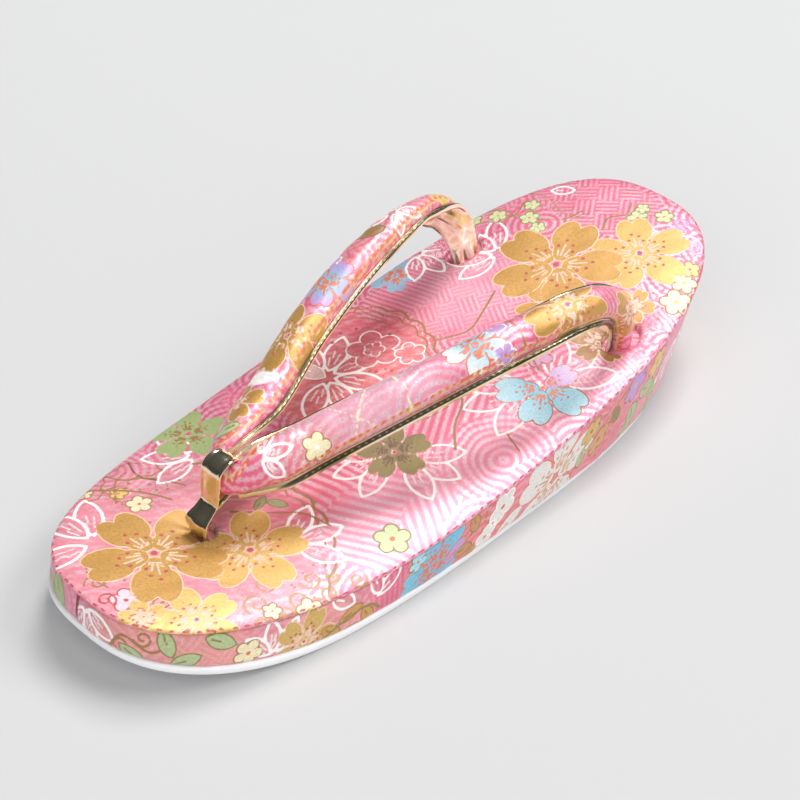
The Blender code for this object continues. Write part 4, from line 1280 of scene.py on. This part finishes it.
def add_loop(material):
    rows = smooth_rows(LOOP_KEYS, LOOP_ROWS, np.linspace(0, len(LOOP_ROWS) - 1, LOOP_STEPS))
    y = FRONT_HOLE_Y + rows["back"]
    z = seam_height(FRONT_HOLE_Y) + rows["up"]
    ahead = unit(np.stack([np.gradient(y), np.gradient(z)], -1))
    out_y, out_z = -ahead[:, 1], ahead[:, 0]
    section = [(-1.0, 0.10), (-0.97, 0.42), (-0.88, 0.52), (-0.76, 0.30)]
    section += [(share, 0.12 + 0.16 * (1 - share**2)) for share in np.linspace(-0.66, 0.66, 9)]
    section += [(0.76, 0.30), (0.88, 0.52), (0.97, 0.42), (1.0, 0.10)]
    section += [(share, -0.45) for share in (0.9, 0.5, 0.0, -0.5, -0.9)]
    share, thick = np.array(section).T[:, None]
    x = (rows["width"] / 2)[:, None] * share
    off = thick * 0.9 - rows["curl"][:, None] * 1.6 * share**2
    points = np.stack([x, y[:, None] + out_y[:, None] * off, z[:, None] + out_z[:, None] * off], -1)
    walked = np.concatenate([[0], np.cumsum(np.hypot(np.diff(y), np.diff(z)))])
    flats = np.stack([np.broadcast_to(walked[:, None], x.shape), x, np.zeros_like(x)], -1)
    faces = capped_faces(numbered(points))
    piece = add_mesh("gilt_loop", points, faces, {"cloth": flats.reshape(-1, 3)}, material)
    upright(piece)
    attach(piece, "root")
    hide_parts("front_loop")


# Materials.


class Shader:
    """Short names for building one material's nodes."""

    def __init__(self, name):
        self.material = bpy.data.materials.new(name)
        self.material.use_nodes = True
        self.tree = self.material.node_tree
        self.surface = self.tree.nodes["Principled BSDF"]

    def node(self, kind, inputs=(), **settings):
        made = self.tree.nodes.new(kind)
        for key, value in settings.items():
            setattr(made, key, value)
        for key, value in dict(inputs).items():
            self.set(made.inputs[key], value)
        return made

    def set(self, socket, value):
        if isinstance(value, bpy.types.NodeSocket):
            self.tree.links.new(value, socket)
        else:
            socket.default_value = value

    def give(self, **inputs):
        for key, value in inputs.items():
            self.set(self.surface.inputs[key.replace("_", " ")], value)

    def vector(self, name):
        return self.node("ShaderNodeAttribute", attribute_name=name).outputs["Vector"]

    def value(self, name):
        return self.node("ShaderNodeAttribute", attribute_name=name).outputs["Fac"]

    def parts(self, vector):
        return self.node("ShaderNodeSeparateXYZ", {"Vector": vector}).outputs

    def math(self, operation, *values):
        made = self.node("ShaderNodeMath", operation=operation)
        for socket, value in zip(made.inputs, values):
            self.set(socket, value)
        return made.outputs[0]

    def scaled(self, vector, scale, shift=(0, 0, 0)):
        made = self.node("ShaderNodeMapping", {"Vector": vector, "Scale": scale, "Location": shift})
        return made.outputs[0]

    def noise(self, vector, scale, detail=2.0, roughness=0.5):
        made = self.node(
            "ShaderNodeTexNoise", {"Vector": vector, "Scale": scale, "Detail": detail, "Roughness": roughness}
        )
        return made.outputs["Fac"]

    def ramp(self, value, low, high, to_low=0.0, to_high=1.0):
        made = self.node(
            "ShaderNodeMapRange",
            {"Value": value, "From Min": low, "From Max": high, "To Min": to_low, "To Max": to_high},
        )
        return made.outputs["Result"]

    def mix(self, share, a, b):
        made = self.node("ShaderNodeMix", data_type="RGBA")
        self.set(made.inputs[0], share)
        self.set(made.inputs[6], a)
        self.set(made.inputs[7], b)
        return made.outputs[2]

    def blend(self, share, a, b):
        made = self.node("ShaderNodeMix", data_type="FLOAT")
        self.set(made.inputs[0], share)
        self.set(made.inputs[2], a)
        self.set(made.inputs[3], b)
        return made.outputs[0]

    def dim(self, colour, factor):
        made = self.node("ShaderNodeVectorMath", {0: colour}, operation="SCALE")
        self.set(made.inputs["Scale"], factor)
        return made.outputs[0]

    def bump(self, height, strength, distance, normal=None):
        made = self.node("ShaderNodeBump", {"Height": height, "Strength": strength, "Distance": distance})
        if normal is not None:
            self.set(made.inputs["Normal"], normal)
        return made.outputs[0]


def brocade(name, gloss, depth):
    """Satin-ground cloth with a tone-on-tone weave, woven blossoms, gilt threads and drawn lines."""
    s = Shader(name)
    cloth = s.vector("cloth")
    threads = s.noise(s.scaled(cloth, (0.8, 4.6, 1)), 1.0, 1.0)
    cross = s.noise(s.scaled(cloth, (4.6, 0.8, 1), (7, 3, 0)), 1.0, 1.0)
    grain = s.noise(cloth, 3.6, 2.0, 0.6)
    coarse = s.noise(cloth, 1.3, 2.0, 0.7)
    cloudy = s.noise(cloth, 0.09, 3.0)
    wobble = s.math("MULTIPLY", s.math("SUBTRACT", s.math("ADD", threads, cross), 1.0), 0.30)
    edge = s.math("ADD", s.value("fill_edge"), wobble)
    rim = s.value("rim")
    shape = s.math("MULTIPLY", s.ramp(edge, 0.06, -0.06), s.value("body"))
    outline_edge = s.math("SUBTRACT", s.math("ABSOLUTE", edge), s.math("MULTIPLY", rim, 0.5))
    outlined = s.math("MULTIPLY", s.ramp(outline_edge, 0.07, -0.07), s.ramp(rim, 0.05, 0.25))
    line = s.ramp(s.math("ADD", s.value("line_edge"), wobble), 0.06, -0.06)
    flecks = s.ramp(cross, 0.38, 0.56, 0.35, 1.0)
    damask = s.ramp(s.math("ADD", s.value("damask"), s.math("MULTIPLY", wobble, 2.6)), 0.22, -0.22)
    patchy = s.ramp(s.noise(cloth, 0.07, 2.0), 0.36, 0.6, 0.55 * depth, depth)
    damask = s.math("MULTIPLY", s.math("MULTIPLY", damask, flecks), patchy)

    ground = s.dim(s.vector("ground"), s.ramp(cloudy, 0.3, 0.7, 0.84, 1.08))
    pale_weave_and_highlight = s.mix(0.82, ground, (1.0, 0.80, 0.87, 1))
    ground = s.mix(damask, ground, pale_weave_and_highlight)
    ground = s.dim(ground, s.ramp(grain, 0.25, 0.75, 0.84, 1.12))
    ground = s.dim(ground, s.ramp(coarse, 0.3, 0.7, 0.90, 1.08))
    filled = s.dim(s.vector("fill_colour"), s.ramp(grain, 0.2, 0.8, 0.70, 1.25))
    filled = s.dim(filled, s.ramp(coarse, 0.3, 0.7, 0.84, 1.12))
    colour = s.mix(shape, ground, filled)
    colour = s.mix(outlined, colour, s.vector("rim_colour"))
    drawn = s.dim(s.vector("line_colour"), s.ramp(threads, 0.25, 0.75, 0.82, 1.1))
    colour = s.mix(line, colour, drawn)

    bare = s.ramp(s.math("ADD", s.math("ADD", shape, outlined), line), 0, 1, 1, 0)
    gilded = s.math("MULTIPLY", s.math("MULTIPLY", s.value("metal"), shape), s.ramp(line, 0, 1, 0.42, 0))
    metal = s.math("ADD", gilded, s.math("MULTIPLY", bare, s.ramp(damask, 0, 1, 0.12, 0.34)))
    rough = s.blend(damask, gloss + 0.06, gloss - 0.06)
    rough = s.blend(shape, rough, 0.48)
    rough = s.blend(s.math("MAXIMUM", line, outlined), rough, 0.5)
    rough = s.math("ADD", rough, s.ramp(coarse, 0.3, 0.7, -0.07, 0.07))
    rough = s.math("ADD", rough, s.ramp(threads, 0.3, 0.7, -0.05, 0.05))

    raised = s.math("MULTIPLY", s.math("MAXIMUM", line, outlined), 0.8)
    raised = s.math("ADD", s.math("MULTIPLY", shape, 0.5), raised)
    raised = s.math("ADD", raised, s.math("MULTIPLY", damask, 0.35))
    relief = s.bump(raised, 0.4, 0.00009)
    weave = s.math("ADD", s.math("MULTIPLY", threads, 0.9), s.math("MULTIPLY", cross, 0.7))
    s.give(Base_Color=colour, Metallic=metal, Roughness=rough, Normal=s.bump(weave, 0.5, 0.00005, relief))
    s.surface.inputs["Specular IOR Level"].default_value = 1.0
    s.surface.inputs["Sheen Weight"].default_value = 0.2
    s.surface.inputs["Sheen Roughness"].default_value = 0.4
    return s.material


def gilt(name, smoothest, roughest, metallic, seam=0.0):
    """Thin gilt leather, mirror-like, with faint wrinkles. A seam adds painted reflections, streaks and the
    bead's dark band, with the stitches' dots.
    """
    s = Shader(name)
    cloth = s.vector("cloth")
    grain = s.noise(cloth, 2.6, 3.0, 0.6)
    wrinkle = s.noise(s.scaled(cloth, (0.5, 0.16, 1)), 1.0, 2.0)
    colour = s.mix(s.ramp(grain, 0.3, 0.7), (0.96, 0.84, 0.52, 1), (0.99, 0.94, 0.72, 1))
    colour = s.mix(s.ramp(wrinkle, 0.62, 0.75), colour, (0.99, 0.86, 0.66, 1))
    if seam:
        along, _, shade = s.parts(cloth)
        # Painted reflections on the folds: deeper gold streaks and gold near the front, pale cream highlights
        # on the rear's ridges, and near-black dark reflections.
        streaks = s.noise(s.scaled(cloth, (0.06, 0.42, 0)), 1.0, 1.0)
        golden = s.math("MAXIMUM", s.ramp(streaks, 0.46, 0.56), s.ramp(along, 14, 2))
        colour = s.mix(golden, colour, (0.93, 0.74, 0.38, 1))
        rear = s.ramp(along, 88, 100)
        highlight_ridges = s.noise(s.scaled(cloth, (0.07, 0.55, 0), (5, 2, 0)), 1.0, 1.0)
        pale_weave_and_highlight = s.math("MULTIPLY", s.ramp(highlight_ridges, 0.48, 0.54), rear)
        colour = s.mix(pale_weave_and_highlight, colour, (0.99, 0.97, 0.80, 1))
        dark_fold_reflection = s.math("ADD", streaks, s.math("MULTIPLY", rear, 0.05))
        colour = s.mix(s.ramp(dark_fold_reflection, 0.60, 0.65, 0, 0.85), colour, (0.19, 0.16, 0.08, 1))
        # A painted dark reflection along each bead, set by seam and shade, with lighter dots where its
        # stitches are.
        step = s.math("FRACT", s.math("DIVIDE", along, DOT_PITCH))
        dots = s.math("ABSOLUTE", s.math("SUBTRACT", step, 0.5))
        dotted = s.math("MULTIPLY", s.ramp(dots, 0.26, 0.10), s.ramp(shade, 0.72, 0.95))
        dark = s.math("SUBTRACT", seam, s.math("MULTIPLY", dotted, 0.5))
        dark = s.math("MULTIPLY", s.ramp(shade, 0.22, 0.42), dark)
        colour = s.mix(dark, colour, (0.06, 0.048, 0.03, 1))
    rough = s.ramp(grain, 0.25, 0.75, smoothest, roughest)
    uneven = s.bump(wrinkle, 0.25, 0.0006)
    s.give(Base_Color=colour, Metallic=metallic, Roughness=rough, Normal=s.bump(grain, 0.12, 0.00008, uneven))
    return s.material


def rubber():
    """White sole rubber with faint scuffs and a fine tread on its underside."""
    s = Shader("outsole_rubber_scene")
    place = s.node("ShaderNodeTexCoord").outputs["Object"]
    grain = s.noise(place, 900.0, 3.0, 0.6)
    scuff = s.noise(s.scaled(place, (60, 60, 260)), 1.0, 4.0, 0.6)
    ribs = s.node(
        "ShaderNodeTexWave", {"Vector": place, "Scale": 210.0, "Distortion": 0.0}, bands_direction="DIAGONAL"
    ).outputs["Fac"]
    upward = s.parts(s.node("ShaderNodeNewGeometry").outputs["Normal"])["Z"]
    under = s.ramp(upward, -0.6, -0.9)
    colour = s.mix(s.ramp(scuff, 0.55, 0.75, 0.0, 0.5), (0.93, 0.93, 0.95, 1), (0.80, 0.80, 0.80, 1))
    tread = s.bump(s.math("MULTIPLY", ribs, under), 0.6, 0.0004)
    rough = s.ramp(grain, 0.2, 0.8, 0.5, 0.68)
    s.give(Base_Color=colour, Roughness=rough, Normal=s.bump(grain, 0.2, 0.00005, tread))
    return s.material


def floor_paint():
    s = Shader("studio_floor")
    place = s.node("ShaderNodeTexCoord").outputs["Object"]
    colour = s.mix(s.noise(place, 3.0), (0.60, 0.602, 0.605, 1), (0.615, 0.617, 0.62, 1))
    s.give(Base_Color=colour, Roughness=0.9)
    s.surface.inputs["Specular IOR Level"].default_value = 0.1
    return s.material


# The studio.


def aimed(obj, place, target):
    obj.location = place
    obj.rotation_euler = (Vector(target) - Vector(place)).to_track_quat("-Z", "Y").to_euler()
    bpy.context.scene.collection.objects.link(obj)
    return obj


def add_light(name, place, size, power, diffuse=True):
    data = bpy.data.lights.new(name, "AREA")
    data.shape = "RECTANGLE"
    data.size, data.size_y = size
    data.energy = power
    light = aimed(bpy.data.objects.new(name, data), place, (0, 0, 0.02))
    light.visible_diffuse = diffuse


def add_sun(name, towards, angle, power):
    """Even light from a wide patch of the studio, which isn't mirrored in the gilt leather."""
    data = bpy.data.lights.new(name, "SUN")
    data.angle = math.radians(angle)
    data.energy = power
    light = aimed(bpy.data.objects.new(name, data), towards, (0, 0, 0))
    light.visible_glossy = False


def add_studio():
    mesh = bpy.data.meshes.new("floor")
    places = [(x * FLOOR_HALF, y * FLOOR_HALF, 0) for x, y in ((-1, -1), (1, -1), (1, 1), (-1, 1))]
    mesh.from_pydata(places, [], [(0, 1, 2, 3)])
    mesh.materials.append(floor_paint())
    floor = bpy.data.objects.new("floor", mesh)
    bpy.context.scene.collection.objects.link(floor)
    add_light("key", power=92, **KEY)
    add_light("window", power=34, **WINDOW)
    add_light("key_sheen", power=26, diffuse=False, **KEY)
    add_light("window_sheen", power=30, diffuse=False, **WINDOW)
    add_sun("overhead", (-0.2, 0.1, 1.0), 150, 0.6)
    add_sun("front_fill", (0.62, -0.62, 0.5), 90, 1.95)
    world = bpy.data.worlds.new("studio")
    world.use_nodes = True
    nodes, links = world.node_tree.nodes, world.node_tree.links
    sky = nodes.new("ShaderNodeTexGradient")
    turn = nodes.new("ShaderNodeMapping")
    turn.inputs["Rotation"].default_value = (0, math.pi / 2, 0)
    place = nodes.new("ShaderNodeTexCoord")
    ramp = nodes.new("ShaderNodeValToRGB")
    ramp.color_ramp.elements[0].position = 0.0
    ramp.color_ramp.elements[0].color = (0.03, 0.03, 0.03, 1)
    ramp.color_ramp.elements[1].position = 0.9
    ramp.color_ramp.elements[1].color = (0.08, 0.08, 0.083, 1)
    links.new(place.outputs["Generated"], turn.inputs["Vector"])
    links.new(turn.outputs[0], sky.inputs["Vector"])
    links.new(sky.outputs["Fac"], ramp.inputs["Fac"])
    links.new(ramp.outputs["Color"], nodes["Background"].inputs["Color"])
    bpy.context.scene.world = world
    bpy.context.scene.view_settings.view_transform = "Standard"


def add_camera():
    data = bpy.data.cameras.new("camera")
    data.lens = LENS
    data.clip_start = 0.01
    camera = aimed(bpy.data.objects.new("camera", data), CAMERA_PLACE, CAMERA_TARGET)
    bpy.context.scene.camera = camera


def build():
    footbed_cloth = brocade("footbed_brocade_scene", 0.38, 1.0)
    wrap_cloth = brocade("wrap_brocade_scene", 0.52, 0.4)
    strap_cloth = brocade("strap_brocade_scene", 0.34, 1.0)
    add_footbed(footbed_cloth)
    add_wrap(wrap_cloth)
    add_outsole(rubber())
    add_strap(strap_cloth)
    add_linings(gilt("gilt_lining_scene", 0.10, 0.24, 0.65, 0.9))
    add_loop(gilt("gilt_loop_scene", 0.12, 0.24, 1.0))
    add_studio()
    add_camera()


build()
